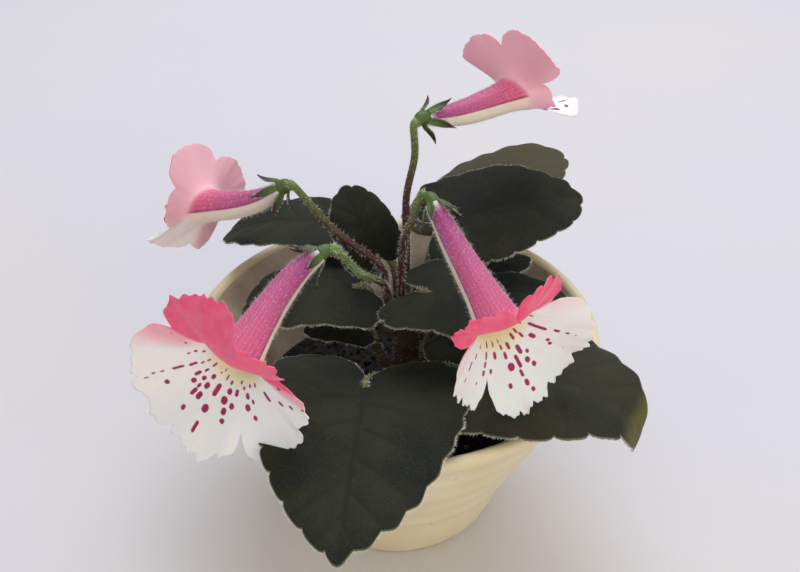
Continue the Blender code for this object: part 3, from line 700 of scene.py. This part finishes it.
# %% Leaf veins
def veins_of(x, y, length, width):
    """How near each point is to a vein, and how high the cushion between veins rises there."""
    out = np.abs(x)
    count = 6 if length > 45 else 5
    origin = (y - 0.04 * out) / (1 + 0.62 * out)
    phase = origin * count + np.where(x > 0, 0.3, 0.0)
    rib = np.abs(phase - np.round(phase)) / count * length * 0.8
    fade = np.clip(1.25 - out, 0, 1) * np.clip(origin * 12 + 0.5, 0, 1)
    near = np.exp(-((rib / 0.55) ** 2)) * fade
    middle = np.exp(-((out * width / 2 / (1.0 - 0.5 * np.clip(y, 0, 1))) ** 2)) * (y > -0.02)
    basal = np.zeros_like(x)
    for angle in (-0.35, -0.95):
        ray = np.abs(out * width / 2 * math.sin(angle) - y * length * math.cos(angle))
        ahead = (out * width / 2 * math.cos(angle) + y * length * math.sin(angle)) > 0
        basal = np.maximum(basal, np.exp(-((ray / 0.55) ** 2)) * ahead * (y < 0.02))
    cushion = np.sin(math.pi * phase) ** 2 * np.clip(origin * 6 + 0.4, 0, 1) * np.clip(out * 6, 0, 1)
    return np.clip(np.maximum.reduce([near, middle, basal]), 0, 1), cushion


# %% [markdown]
# ## A leaf's blade
# The blade starts as its flat outline, shrunk towards a middle point ring by ring. It is then arched and
# cupped, its cushions, sunken veins and wavy rim are added, and a tip that curls is rolled round a cylinder.

# %% Leaf blade
def leaf_points(around, out, spec):
    """Where a point of the blade lies, in millimetres, and how near it is to a vein and to the edge."""
    base, tip = np.array(spec["base"], dtype=float), np.array(spec["tip"], dtype=float)
    side, forward, normal = axes_of(tip - base, spec["normal"])
    length, half = np.linalg.norm(tip - base), spec["width"] / 2
    across, along, scallop = leaf_outline(around, spec)
    middle = 0.32 * length
    scallop = 1 + (scallop - 1) * out**3
    across = across * scallop * out
    along = middle + (along - middle) * scallop * out
    x, y = across / half, along / length
    vein, cushion = veins_of(x, y, length, spec["width"])
    height = 4 * spec["arch"] * y * (1 - y) + spec["cup"] * x**2 - spec["droop"] * np.clip(y, 0, 1) ** 5
    plump = half / 25
    inner = np.clip((1 - out) * 7, 0, 1)
    skin = (0.3 * cushion * inner - 0.16 * vein * np.clip((1 - out) * 10, 0, 1)) * plump
    skin = skin - 0.8 * plump * np.exp(-((x * half / 4) ** 2)) * np.clip((1 - out) * 4, 0, 1)
    skin = skin + 0.7 * plump * np.sin(around * 2 * math.pi * 6 + spec["teeth"]) * out**5
    skin = skin - 2.5 * plump * np.clip(out - 0.9, 0, 1)
    start, angle = spec.get("curl", (1.0, 0.0))
    turned = smooth(y, start + 0.03, start + 0.1) if angle else np.zeros_like(y)
    if angle:
        radius = (1 - start) * length / math.radians(angle)
        roll = np.clip(along - start * length, 0, None) / radius
        along = np.where(roll > 0, start * length + radius * np.sin(roll), along) + skin * np.sin(roll)
        height = height - radius * (1 - np.cos(roll)) + skin * np.cos(roll)
    else:
        height = height + skin
    spots = base + np.outer(across, side) + np.outer(along, forward) + np.outer(height, normal)
    pale = np.full_like(y, spec.get("pale", 0.0))
    return spots, {"vein": vein, "margin": out, "turned": turned, "pale": pale}


# %% [markdown]
# ## Leaf stalks and hairs
# A leaf stalk leaves the stem's side, bends up and ends sunk into the blade's underside. Hairs stand along it
# and all round the blade's edge, where the photograph shows them as a bright line.

# %% Leaf stalk and hairs
LEAF_STALK, FLOWER_STALK = 1.35, 0.95
BLADE = 0.6


def leaf_stalk_route(spec):
    """From the stem's side, out and up to the underside of the blade."""
    base, tip = np.array(spec["base"], dtype=float), np.array(spec["tip"], dtype=float)
    _, forward, normal = axes_of(tip - base, spec["normal"])
    under = base - normal * 0.9
    start, elbow = leaving_stem(spec["node"], base, LEAF_STALK)
    points = [elbow, *spec.get("path", ()), under - forward, under + forward * 4.0 + normal * 0.45]
    return np.vstack([[start], smooth_curve(points, 32)])


def fringe(roots, ways, length, spread):
    """Hairs of uneven length that lean a little every way."""
    ways = unit(ways) + rng.normal(0, spread, ways.shape)
    return roots * MM, unit(ways) * rng.uniform(0.6, 1.15, (len(roots), 1)) * length * MM


def stalk_hairs(route, radii, count, length, first=0.08):
    """Roots and directions of hairs that stand out all round a stalk."""
    at = rng.uniform(first, 0.9, count) * (len(route) - 1)
    i = at.astype(int)
    forward = unit(route[i + 1] - route[i])
    turn = rng.uniform(0, 2 * math.pi, count)[:, None]
    side = unit(np.cross(forward, [[0.3, 0.2, 1.0]]))
    outward = side * np.cos(turn) + np.cross(forward, side) * np.sin(turn)
    spots = route[i] + (route[i + 1] - route[i]) * (at - i)[:, None]
    return fringe(spots + outward * np.asarray(radii)[i][:, None] * 0.95, outward, length, 0.18)


# %% [markdown]
# ## All the leaves
# A blade's columns are twelve to a scallop, which is enough to keep each scallop round. The blade, its stalk
# and its hairs are joined to one piece, because the real leaf is one.

# %% Leaves
def leaf(name, spec):
    """One whole leaf: its blade, its stalk and its hairs."""
    def rule(around, out):
        spots, traits = leaf_points(around, out, spec)
        return spots * MM, traits

    up = axes_of(np.subtract(spec["tip"], spec["base"]), spec["normal"])[2]
    blade = sheet(name, spec["teeth"] * 12, 30, rule, BLADE * MM, (velvet, olive), up)
    route = leaf_stalk_route(spec)
    radii = LEAF_STALK * (1 - 0.5 * np.linspace(0, 1, len(route)) ** 2)
    petiole = stalk(name + "_stalk", route * MM, radii * MM, leafstalk, 12)
    perimeter = 2.6 * np.linalg.norm(np.subtract(spec["tip"], spec["base"])) + spec["width"]
    around = np.sort(rng.uniform(0.015, 0.985, int(perimeter * 6)))
    edge, _ = leaf_points(around, np.full_like(around, 0.995), spec)
    inner, _ = leaf_points(around, np.full_like(around, 0.93), spec)
    roots, ways = fringe(edge, unit(edge - inner) + 0.15 * up, 0.95, 0.28)
    more, out = stalk_hairs(route, radii, 260, 0.8)
    hair = hairs(name + "_hairs", np.vstack([roots, more]), np.vstack([ways, out]), 0.11 * MM, down)
    return joined("velvet_" + name, [blade, petiole, hair])


for name, spec in LEAVES.items():
    settle(leaf(name, spec), name)

# %% [markdown]
# ## The flowers
# Each corolla is one sheet: a hairy tube, purple-pink with a cream belly, that opens into five lobes. The two
# upper lobes are coral pink and fold back, and the three lower ones are white and fringed. The table gives
# each flower its own pose, as petals never open twice in the same way:
# base and mouth are the tube's ends, start and aim its directions there, cup the calyx's lean, and up where
# its back looks. hood is how far the upper rim stands over the throat, roll turns the pale belly round the
# tube in degrees, pink gives the two angles between which the lobes are pink, and fade is how strongly that
# pink runs on past them. A lobe is its middle and its half width, as angles round the tube from its back,
# then the angle that it bends to, and its length. A petal that folds takes two such lobes. size scales the
# flower, seed varies its edges, and frill is how ragged they are. node and path lead its stalk as they lead
# a leaf's, and green says how far down that stalk is green.

# %% Flower table
TUBE_RADII = ((0, 1.9), (0.12, 2.2), (0.3, 2.7), (0.55, 3.2), (0.8, 4.1), (1, 5.3))
FLOWERS = {
    "front_left": dict(base=(-17.9, -20.2, 96.5), mouth=(-35, -41.7, 84.5), start=(-0.8, -0.4, -0.35),
                       cup=(-0.85, -0.2, 0.2), aim=(-0.52, -0.72, -0.46), up=(0, -0.54, 0.84), hood=4.5,
                       green=1.7, size=1.06, seed=1, node=66, path=((-3, -2.5, 75), (-9, -10, 84)),
                       roll=35, fade=0.6, pink=(-79, 86),
                       lobes=((-36, 40, 108, 11.5), (26, 31, 140, 15), (60, 27, 110, 15), (109, 26, 61, 20.5),
                              (131, 28, 50, 23.5), (172, 25, 36, 22.5), (193, 21, 32, 20), (234, 23, 52, 20),
                              (256, 32, 92, 16.5))),
    "front_right": dict(base=(9.3, -10.5, 104.5), mouth=(23.3, -34, 88.5), start=(0.4, -0.72, -0.56),
                        cup=(0.7, -0.4, 0.2), aim=(0.44, -0.74, -0.5), up=(0.1, -0.53, 0.84), hood=4.2,
                        size=1.04, seed=2, node=66, path=((1.5, -4.5, 78), (2, -6.5, 90), (4.2, -9, 99)),
                        roll=-35, fade=0.2, pink=(-75, 79),
                        lobes=((-42, 34, 112, 13.5), (38, 42, 106, 11.5), (111, 33, 48, 16.3),
                               (181, 38, 30, 18.3), (245, 40, 60, 19))),
    "back_left": dict(base=(-29, 5, 100), mouth=(-50.7, 15.8, 88), start=(-0.6, 0.35, -0.7),
                      cup=(-0.75, 0.4, 0.1), aim=(-0.85, 0.43, -0.31), up=(0.1, 0.65, 0.64), hood=-2.5,
                      size=0.9, seed=3, frill=0.4, node=67.5, path=((-4, 3.5, 77), (-16, 4, 88)),
                      roll=-19, fade=0.5, pink=(-79, 79),
                      lobes=((-38, 42, 88, 15), (38, 42, 100, 14), (110, 37, 58, 14), (180, 40, 24, 16),
                             (252, 36, 100, 9.5))),
    "top": dict(base=(7.5, 10.5, 117), mouth=(30.8, 28.2, 114.9), start=(0.65, 0.67, -0.35),
                cup=(0.4, 0.45, 0.55), aim=(0.72, 0.69, -0.08), up=(-0.09, 0.21, 0.92), hood=-2.5,
                size=0.92, seed=4, frill=0.4, node=67, path=((3, 8, 78), (2.8, 7.6, 95), (4.9, 8.6, 107)),
                roll=-15, fade=0.5, pink=(-79, 79),
                lobes=((-37, 39, 110, 15.5), (34, 37, 106, 17), (102, 33, 40, 7.5), (188, 50, 4, 23),
                       (256, 30, 40, 13))),
}
print(len(FLOWERS), "flowers with tubes of",
      [round(math.dist(spec["base"], spec["mouth"])) for spec in FLOWERS.values()], "mm")

# %% [markdown]
# ## The spots
# The spots lie in rows that follow the veins. Each spot is given by the angle round the tube from its upper
# side, how far out from the mouth it lies, its length and its width, in degrees and millimetres. The two
# patterns differ as two flowers on one plant do.

# %% Spot table
SPOTS_LONG = [
    (122, 3.5, 1.0, 0.5), (121, 5.2, 1.2, 0.5), (118, 7.6, 2.4, 0.7), (117, 11.6, 3.4, 0.7),
    (117, 16, 1.3, 0.5), (117, 18.6, 1.4, 0.5), (119, 20.6, 1.5, 0.4), (86, 11.8, 0.7, 0.7),
    (127, 16.3, 1.3, 1.4), (91, 8.4, 0.7, 0.6), (102, 7.8, 0.9, 0.6), (100, 6.2, 1.1, 0.6),
    (103, 4.3, 1.0, 0.5), (132, 7.6, 2.1, 0.9), (135, 5.2, 1.5, 0.6), (136, 2.8, 1.5, 0.5),
    (137, 9.6, 1.5, 1.4), (142, 6.9, 1.4, 1.1), (150, 4.7, 1.4, 1.1), (156, 2.5, 0.6, 0.5),
    (145, 9.1, 1.6, 0.8), (152, 7.5, 1.9, 1.3), (146, 11.2, 2.5, 1.0), (153, 10.8, 2.4, 1.3),
    (150, 16.3, 1.7, 1.1), (167, 6.4, 3.6, 1.2), (188, 5.0, 1.6, 1.3), (185, 2.9, 1.2, 0.6),
    (202, 4.8, 1.8, 0.9), (206, 2.2, 1.0, 0.5), (214, 3.4, 1.0, 0.6), (185, 7.5, 2.1, 1.8),
    (199, 8.2, 1.6, 1.3), (167, 12, 2.3, 1.7), (190, 10, 1.9, 1.4), (192, 12.3, 1.4, 1.4),
    (168, 17.4, 3.6, 0.9), (221, 5.3, 1.6, 1.0), (228, 6.8, 1.2, 0.7), (220, 8.0, 1.8, 1.3),
    (226, 10.7, 1.4, 1.0), (226, 3.0, 1.0, 0.6), (238, 3.2, 1.1, 0.6), (251, 6.9, 2.8, 0.9),
    (261, 10.3, 1.6, 0.8), (266, 12.7, 1.4, 0.8), (273, 16.2, 1.4, 0.6), (282, 8.8, 1.1, 0.8),
    (172, 2.4, 1.6, 0.4), (160, 1.2, 1.2, 0.3),
]
SPOTS_ROUND = [
    (244, 1.1, 1.6, 0.6), (253, 6.0, 5.0, 0.9), (255, 11, 1.7, 0.8), (255, 13.7, 1.2, 0.6),
    (255, 15.9, 0.6, 0.4), (270, 2.8, 1.1, 0.6), (270, 4.2, 1.1, 0.8), (236, 5.8, 2.0, 1.2),
    (226, 3.1, 1.7, 0.7), (223, 1.2, 1.4, 0.6), (240, 10.1, 1.1, 1.0), (237, 11.3, 1.1, 1.0),
    (238, 15.5, 0.5, 0.4), (210, 1.5, 1.9, 0.7), (192, 2.6, 1.9, 0.8), (176, 2.2, 1.2, 0.6),
    (179, 4.4, 1.9, 0.8), (157, 3.8, 1.9, 0.8), (207, 5.0, 2.6, 1.1), (215, 7.0, 1.2, 1.0),
    (209, 8.5, 1.6, 1.4), (212, 10.6, 1.5, 1.3), (196, 7.2, 3.6, 0.9), (193, 10.2, 2.0, 0.8),
    (194, 12.9, 1.8, 1.1), (197, 15.2, 1.3, 1.0), (182, 7.5, 2.1, 1.8), (172, 11.8, 1.4, 1.1),
    (139, 4.0, 2.0, 0.5), (138, 6.2, 1.6, 0.6), (137, 8.2, 1.5, 0.7), (147, 7.7, 1.4, 0.7),
    (129, 11, 0.7, 0.5), (141, 1.4, 1.7, 0.4), (121, 2.8, 0.9, 0.5), (158, 1.0, 1.5, 0.4),
    (174, 0.6, 1.3, 0.3), (112, 5.6, 1.6, 0.5), (104, 8.8, 2.4, 0.7), (103, 12.4, 1.2, 0.5),
]
SPOTS = {"front_left": SPOTS_LONG, "front_right": SPOTS_ROUND, "back_left": SPOTS_ROUND, "top": SPOTS_LONG}
print("spots on each flower:", {name: len(spots) for name, spots in SPOTS.items()})

# %% [markdown]
# ## The petals' finishes
# A petal is a thin moist sheet, so light enters it and glows out again, and its shine is dull. Its inner side
# is white, yellow or coral, and the mesh says where each begins. Its spots could be painted, but here the
# mesh carries how far each point lies from the nearest spot's edge, and a steep ramp turns that into crisp
# spots. Fine creases run outwards along each lobe.

# %% Petal finishes
# The inner side gives the eye a clean white that warms to the throat, coral that varies like watercolour, and
# magenta spots with slightly uneven edges.
petal = finish_of("petal_inside", Roughness=0.55, Subsurface_Weight=0.55, Subsurface_Scale=0.9 * MM,
                  Sheen_Weight=0.08)
inner = blended(petal, noise(petal, 6 * MM), linear("#F6F4F5"), linear("#FBF8F2"))
inner = blended(petal, trait(petal, "throat"), inner, linear("#F4EBB4"))
flush = blended(petal, ramped(petal, noise(petal, 3 * MM), 0.3, 0.7), linear("#F04E7E"), linear("#F4708F"))
inner = blended(petal, trait(petal, "blush"), inner, flush)
uneven = {0: noise(petal, 0.8 * MM), 1: 0.22, 2: trait(petal, "spot")}
wobble = add(petal, "Math", uneven, operation="MULTIPLY_ADD").outputs[0]
inner = blended(petal, ramped(petal, wobble, 0.2, 0.02), inner, linear("#A2095C"))
lines = {"Vector": add(petal, "CombineXYZ", {0: trait(petal, "turn")}).outputs[0], "Scale": 6.0,
         "Distortion": 1.0}
creases = add(petal, "TexWave", lines).outputs["Fac"]
creased = add(petal, "Math", {0: creases, 1: noise(petal, 0.6 * MM)}, operation="ADD").outputs[0]
into(petal, inner, creased, 0.12, 0.12 * MM)

# The outer side gives the eye a purple tube that pinks towards the mouth, streaked along its length, with a
# cream belly between two dark lines, and pale, rosy backs of the lobes.
skin = finish_of("petal_outside", Roughness=0.55, Subsurface_Weight=0.5, Subsurface_Scale=0.9 * MM,
                 Sheen_Weight=0.12)
outer = blended(skin, trait(skin, "glow"), linear("#F8F2F0"), linear("#FFC6D4"))
mauve = blended(skin, ramped(skin, trait(skin, "along"), 0.15, 0.95), linear("#A64482"), linear("#D9688D"))
lines = {"Vector": add(skin, "CombineXYZ", {0: trait(skin, "turn")}).outputs[0], "Scale": 1.3,
         "Distortion": 2.5, "Detail": 2.0}
streaks = add(skin, "TexWave", lines).outputs["Fac"]
mauve = blended(skin, ramped(skin, streaks, 0.3, 2.6), mauve, linear("#9C2F72"))
mauve = blended(skin, trait(skin, "belly"), mauve, linear("#EFE3CF"))
mauve = blended(skin, trait(skin, "line"), mauve, linear("#A02468"))
mauve = blended(skin, ramped(skin, trait(skin, "along"), 0.09, 0.0), mauve, linear("#E9DDE0"))
outer = blended(skin, ramped(skin, trait(skin, "along"), 1.12, 0.96), outer, mauve)
into(skin, outer, noise(skin, 0.5 * MM), 0.3, 0.12 * MM)

# %% [markdown]
# ## Lobes and their fringe
# Round the mouth, each direction has its own length of petal and its own angle to bend to. Every lobe adds a
# rounded outline and pulls its neighbours' bend a little, so that the limb stays one soft sheet. The waves
# and teeth count whole numbers round the tube, so that the sheet's two ends meet.

# %% Lobes and fringe
def ragged(turn, seed, counts=(23, 41, 67)):
    """A repeatable uneven wave between -1 and 1, of whole waves round the tube, so that its ends meet."""
    wave = 0.5 * np.sin(counts[0] * turn + 1.7 * seed) + 0.3 * np.sin(counts[1] * turn + 2.9 * seed)
    return wave + 0.2 * np.sin(counts[2] * turn + 0.6 * seed)


def flower_line(spec, t):
    """The tube's middle line, and its lateral, forward and dorsal directions, at shares t along it."""
    t = np.atleast_1d(t)[:, None]
    base, mouth = np.array(spec["base"], dtype=float), np.array(spec["mouth"], dtype=float)
    reach = np.linalg.norm(mouth - base)
    start, end = unit(np.array(spec["start"])) * reach, unit(np.array(spec["aim"])) * reach
    spot = base * (2 * t**3 - 3 * t**2 + 1) + start * (t**3 - 2 * t**2 + t)
    spot = spot + mouth * (3 * t**2 - 2 * t**3) + end * (t**3 - t**2)
    way = base * (6 * t**2 - 6 * t) + start * (3 * t**2 - 4 * t + 1)
    way = way + mouth * (6 * t - 6 * t**2) + end * (3 * t**2 - 2 * t)
    return spot, axes_of(way, spec["up"]), reach


CLEFT, SOFTNESS, SHORTEST = 0.32, 26.0, 5.0


def lobe_rules(turn, spec):
    """For each direction round the tube: how long the limb is, and the angle it turns to."""
    degrees = np.degrees(turn) % 360
    reach = np.full_like(degrees, SHORTEST)
    bend, weight = np.zeros_like(degrees), np.zeros_like(degrees)
    for centre, half, turn_to, length in spec["lobes"]:
        off = np.abs((degrees - centre + 180) % 360 - 180)
        squareness = 3.2 if turn_to > 75 else 5.0
        rounded = (1 - np.clip(off / half, 0, 1) ** squareness) ** 0.5
        reach = np.maximum(reach, length * (CLEFT + (1 - CLEFT) * rounded) * (off <= half))
        near = np.exp(-((off / SOFTNESS) ** 2))
        bend += near * turn_to
        weight += near
    return reach, bend / weight


def fringed(turn, seed):
    """Small uneven teeth for a petal's edge, between 0 and 1."""
    phase = turn * 60 + 1.6 * np.sin(turn * 7 + seed) + 0.9 * np.sin(turn * 17 + 2 * seed)
    tooth = 1 - np.abs((phase / math.pi + seed) % 2 - 1)
    second = 1 - np.abs((turn * 31 / math.pi + 0.7 * np.sin(turn * 13 + seed)) % 2 - 1)
    return tooth * (0.5 + 0.35 * np.sin(turn * 9 + 3 * seed)) + 0.5 * second


# %% [markdown]
# ## The corolla's sheet
# The sheet's columns run round the tube from its belly over its back. The first half of out follows the tube
# from the calyx to the mouth, and the second half walks along the limb in small steps, which turn quickly
# from the tube's flare to the lobe's own angle. The belly bulges, and it reaches a little further forward
# than the tube's middle line.

# %% Corolla points
FLARE, STEPS = 16, 20


def corolla_points(around, out, spec):
    """Where a point of the corolla lies, in millimetres, and how far it is from the mouth along the limb."""
    turn = (2 * around - 1) * math.pi
    belly, back = np.clip(-np.cos(turn), 0, 1), np.clip(np.cos(turn), 0, 1)
    size, seed = spec["size"], spec["seed"]
    along, limb = np.clip(out * 2, 0, 1), np.clip(out * 2 - 1, 0, 1)
    stations, radii = np.array(TUBE_RADII).T
    radius = np.interp(along, stations, radii) * size + 0.9 * belly * np.sin(math.pi * along) ** 2
    radius = radius * (1 + 0.008 * np.sin(turn * 9) * np.sin(math.pi * along))
    centre, (lateral, axis, dorsal), tube_reach = flower_line(spec, along)
    forward = along * 0.12 * belly * tube_reach + along**2 * spec["hood"] * back
    radius = radius * (1 - 0.12 * back * smooth(along, 0.6, 1.0))
    reach, bend = lobe_rules(turn, spec)
    upper = smooth(np.cos(turn), 0.0, 0.4)
    frill = size * spec.get("frill", 1.0)
    edge = 0.8 * frill * (fringed(turn, seed) - 0.6)
    reach = reach * (size + 0.045 * frill * ragged(turn, seed) * limb**4) + edge * limb**9
    run = reach * limb / STEPS
    for step in range(STEPS):
        turned = 1 - np.exp(-run * (step + 0.5) / ((3.2 - 1.2 * upper) * size))
        angle = np.radians(FLARE + (bend - FLARE) * turned)
        forward = forward + run * np.cos(angle)
        radius = radius + run * np.sin(angle)
    wave = 0.9 * frill * ragged(turn, seed + 5, (9, 16, 29)) * limb**3
    wave = wave + 0.22 * frill * np.sin(turn * 19 + 2 * np.sin(turn * 5 + seed)) * limb**6
    forward = forward + wave * np.abs(np.sin(np.radians(bend)))
    radius = radius + wave * np.clip(np.cos(np.radians(bend)), 0, 1)
    outward = dorsal * np.cos(turn)[:, None] + lateral * np.sin(turn)[:, None]
    return centre + axis * forward[:, None] + outward * radius[:, None], turn, along, reach * limb


# %% [markdown]
# ## Placing the spots
# Each spot is a short round-ended dash on the sheet. A point's distance to its middle line, less half its
# width, is its distance to the spot's edge.

# %% Spots on the sheet
def spot_gap(spots, spec, table):
    """How far each point lies from the edge of the nearest spot, in millimetres, less than 0 inside it."""
    gap = np.full(len(spots), 9.0)
    for degrees, distance, length, width in table:
        distance, length = distance * spec["size"] / 1.05, length * spec["size"] / 1.05
        turn = (math.radians(degrees) % (2 * math.pi) + math.pi) / (2 * math.pi) % 1.0
        reach = lobe_rules(np.array([(2 * turn - 1) * math.pi]), spec)[0][0] * spec["size"]
        ends = []
        for far in (distance - (length - width) / 2, distance + (length - width) / 2):
            share = 0.5 + 0.5 * min(max(far / reach, 0.0), 0.98)
            ends.append(corolla_points(np.array([turn]), np.array([share]), spec)[0][0])
        line = ends[1] - ends[0]
        share = np.clip((spots - ends[0]) @ line / max(line @ line, 1e-9), 0, 1)
        gap = np.minimum(gap, np.linalg.norm(spots - ends[0] - share[:, None] * line, axis=1) - width / 2)
    return gap


# %% [markdown]
# ## A corolla
# The limb gets more rows than the tube, because its fringe and spots are finer. Together with the points, the
# rule hands on all that the two finishes ask: where the pink ends and fades, where the throat is yellow, and
# where the tube's belly and its two dark lines run.

# %% Corolla
TUBE_ROWS, LIMB_ROWS, COLUMNS = 24, 44, 360
PETAL = 0.32
HAIRLINE = 0.001


def corolla(name, spec):
    """One whole corolla, from the calyx to the fringe."""
    def rule(around, rows):
        rows = rows * (TUBE_ROWS + LIMB_ROWS)
        out = np.where(rows < TUBE_ROWS, rows / TUBE_ROWS / 2, 0.5 + (rows - TUBE_ROWS) / LIMB_ROWS / 2)
        spots, turn, along, limb = corolla_points(around, out, spec)
        degrees = np.degrees(turn)
        beyond = np.maximum(degrees - spec["pink"][1], spec["pink"][0] - degrees)
        fading = spec["fade"] * (1 - smooth(beyond, 2, 13)) * smooth(limb, 4, 10)
        below = np.abs((degrees - spec["roll"]) % 360 - 180)
        traits = {
            "turn": turn,
            "along": along + limb / 10,
            "blush": np.maximum(1 - smooth(beyond, -4, 3), fading),
            "throat": 0.9 * (1 - smooth(limb, 0.0, 5.5)) * smooth(np.abs(degrees), 72, 84),
            "belly": 1 - smooth(below, 70, 76),
            "line": np.exp(-(((below - 74) / 3.5) ** 2)) * smooth(along, 0.1, 0.3),
            "glow": 1 - smooth(np.abs(degrees), 122, 146),
            "spot": spot_gap(spots, spec, SPOTS[name]),
        }
        return spots * MM, traits

    return sheet("corolla_" + name, COLUMNS, TUBE_ROWS + LIMB_ROWS, rule, PETAL * MM, (petal, skin),
                 spec["aim"], HAIRLINE * MM)


# %% [markdown]
# ## The calyx
# Five narrow sepals hold the tube's foot. Each is a small pointed sheet, folded along its middle, that leans
# off the tube towards its tip. One sepal's rule serves all of them, turned round the tube in steps of 72
# degrees.

# %% Sepals
SEPAL, SEPAL_LENGTH = 0.42, 7.0


def sepal_points(seat, outward, axis, side, out):
    """A point of a sepal, for a side between -1 and 1 and a share along its length."""
    half = np.sin(math.pi * np.clip(out * 0.8 + 0.2, 0, 1)) ** 0.7 * (1 - out**4)
    lean = np.radians(14 + 26 * out)
    ahead = (axis * np.cos(lean)[:, None] + outward * np.sin(lean)[:, None]) * (out * SEPAL_LENGTH)[:, None]
    fold = outward * (0.3 * np.abs(side * half) - 0.4 * (1 - smooth(out, 0, 0.2)))[:, None]
    return seat + outward * 2.1 + ahead + np.cross(axis, outward) * (side * half)[:, None] + fold


def sepal(name, seat, outward, axis):
    """A narrow pointed leaf of the calyx that stands off the tube and curls out at its tip."""
    def rule(across, out):
        return sepal_points(seat, outward, axis, across * 2 - 1, out) * MM, {"along": out}

    return sheet(name, 8, 14, rule, SEPAL * MM, (sepalskin, sepalskin), -outward, HAIRLINE * MM)


# %% [markdown]
# ## Flower stalks
# A flower stalk leaves the stem's side, climbs in a gentle curve and nods over to its flower, where it widens
# to the calyx's cup. Hairs stand all round it and along the sepals' edges.

# %% Flower stalks
def flower_stalk(name, spec):
    """One flower stalk with its calyx."""
    base, (lateral, axis, dorsal), _ = flower_line(spec, np.array([0.0]))
    base, lateral, axis, dorsal = base[0], lateral[0], axis[0], dorsal[0]
    seat = base - axis * 0.35
    growth = unit(axis + unit(np.array(spec["cup"])))
    heel = seat - growth * 4.0
    start, elbow = leaving_stem(spec["node"], spec["path"][0], FLOWER_STALK)
    lower = smooth_curve([elbow, *spec["path"], heel, heel * 0.6 + seat * 0.4], 44)
    route = np.vstack([[start], lower])
    radii = FLOWER_STALK + 0.25 * smooth(np.linspace(0, 1, len(route)), 0.85, 1.0)
    pieces = [stalk(name, route * MM, radii * MM, flowerstalk, 12)]
    for point in pieces[0].data.attributes["along"].data:
        point.value = min(1.0, point.value * spec.get("green", 1.0))
    waist = seat - axis * 1.4
    cup = smooth_curve([heel, heel * 0.5 + waist * 0.5, waist, seat + axis * 0.2], 12)
    wide = np.interp(np.linspace(0, 1, 13), (0, 0.33, 0.67, 1), (1.0, 1.25, 1.62, 1.95))
    pieces.append(stalk(name + "_cup", cup * MM, wide * MM, sepalskin, 20))
    for point in pieces[1].data.attributes["along"].data:
        point.value *= 0.2
    roots, ways = stalk_hairs(route, radii, 420, 0.95)
    for i in range(5):
        angle = math.radians(36 + 72 * i)
        outward = dorsal * math.cos(angle) + lateral * math.sin(angle)
        pieces.append(sepal(f"{name}_sepal_{i}", seat, outward, axis))
        side, out = rng.choice([-1.0, 1.0], 40), rng.uniform(0.05, 0.9, 40)
        edge = sepal_points(seat, outward, axis, side, out)
        more, away = fringe(edge, np.cross(axis, outward) * side[:, None] + outward * 0.4, 0.7, 0.25)
        roots, ways = np.vstack([roots, more]), np.vstack([ways, away])
    pieces.append(hairs(name + "_hairs", roots, ways, 0.09 * MM, down))
    return joined(name, pieces)


# %% [markdown]
# ## Hairs on the tubes, and the finished flowers
# The tube is downy. Its hairs are finer than the leaves' and lean towards the calyx. The corolla with its
# hairs is one piece and the stalk with its calyx another, as they are when a spent flower falls.

# %% Tube hairs and flowers
def tube_hairs(name, spec, count):
    """Hairs all over the tube and just past its mouth, sparser where the tube widens."""
    around, out = rng.uniform(0, 1, count), 0.5 * rng.uniform(0.02, 1.12, count)
    spots, turn, along, _ = corolla_points(around, out, spec)
    centre, (lateral, axis, dorsal), _ = flower_line(spec, along)
    outward = dorsal * np.cos(turn)[:, None] + lateral * np.sin(turn)[:, None]
    roots, ways = fringe(spots + outward * 0.1, outward - 0.25 * axis, 1.1, 0.2)
    return hairs(name, roots, ways, 0.055 * MM, down)


for name, spec in FLOWERS.items():
    bloom = joined("bloom_" + name, [corolla(name, spec), tube_hairs("tube_hairs_" + name, spec, 1500)])
    settle(bloom, "corolla_" + name)
    settle(flower_stalk("flower_stalk_" + name, spec), "stalk_" + name)
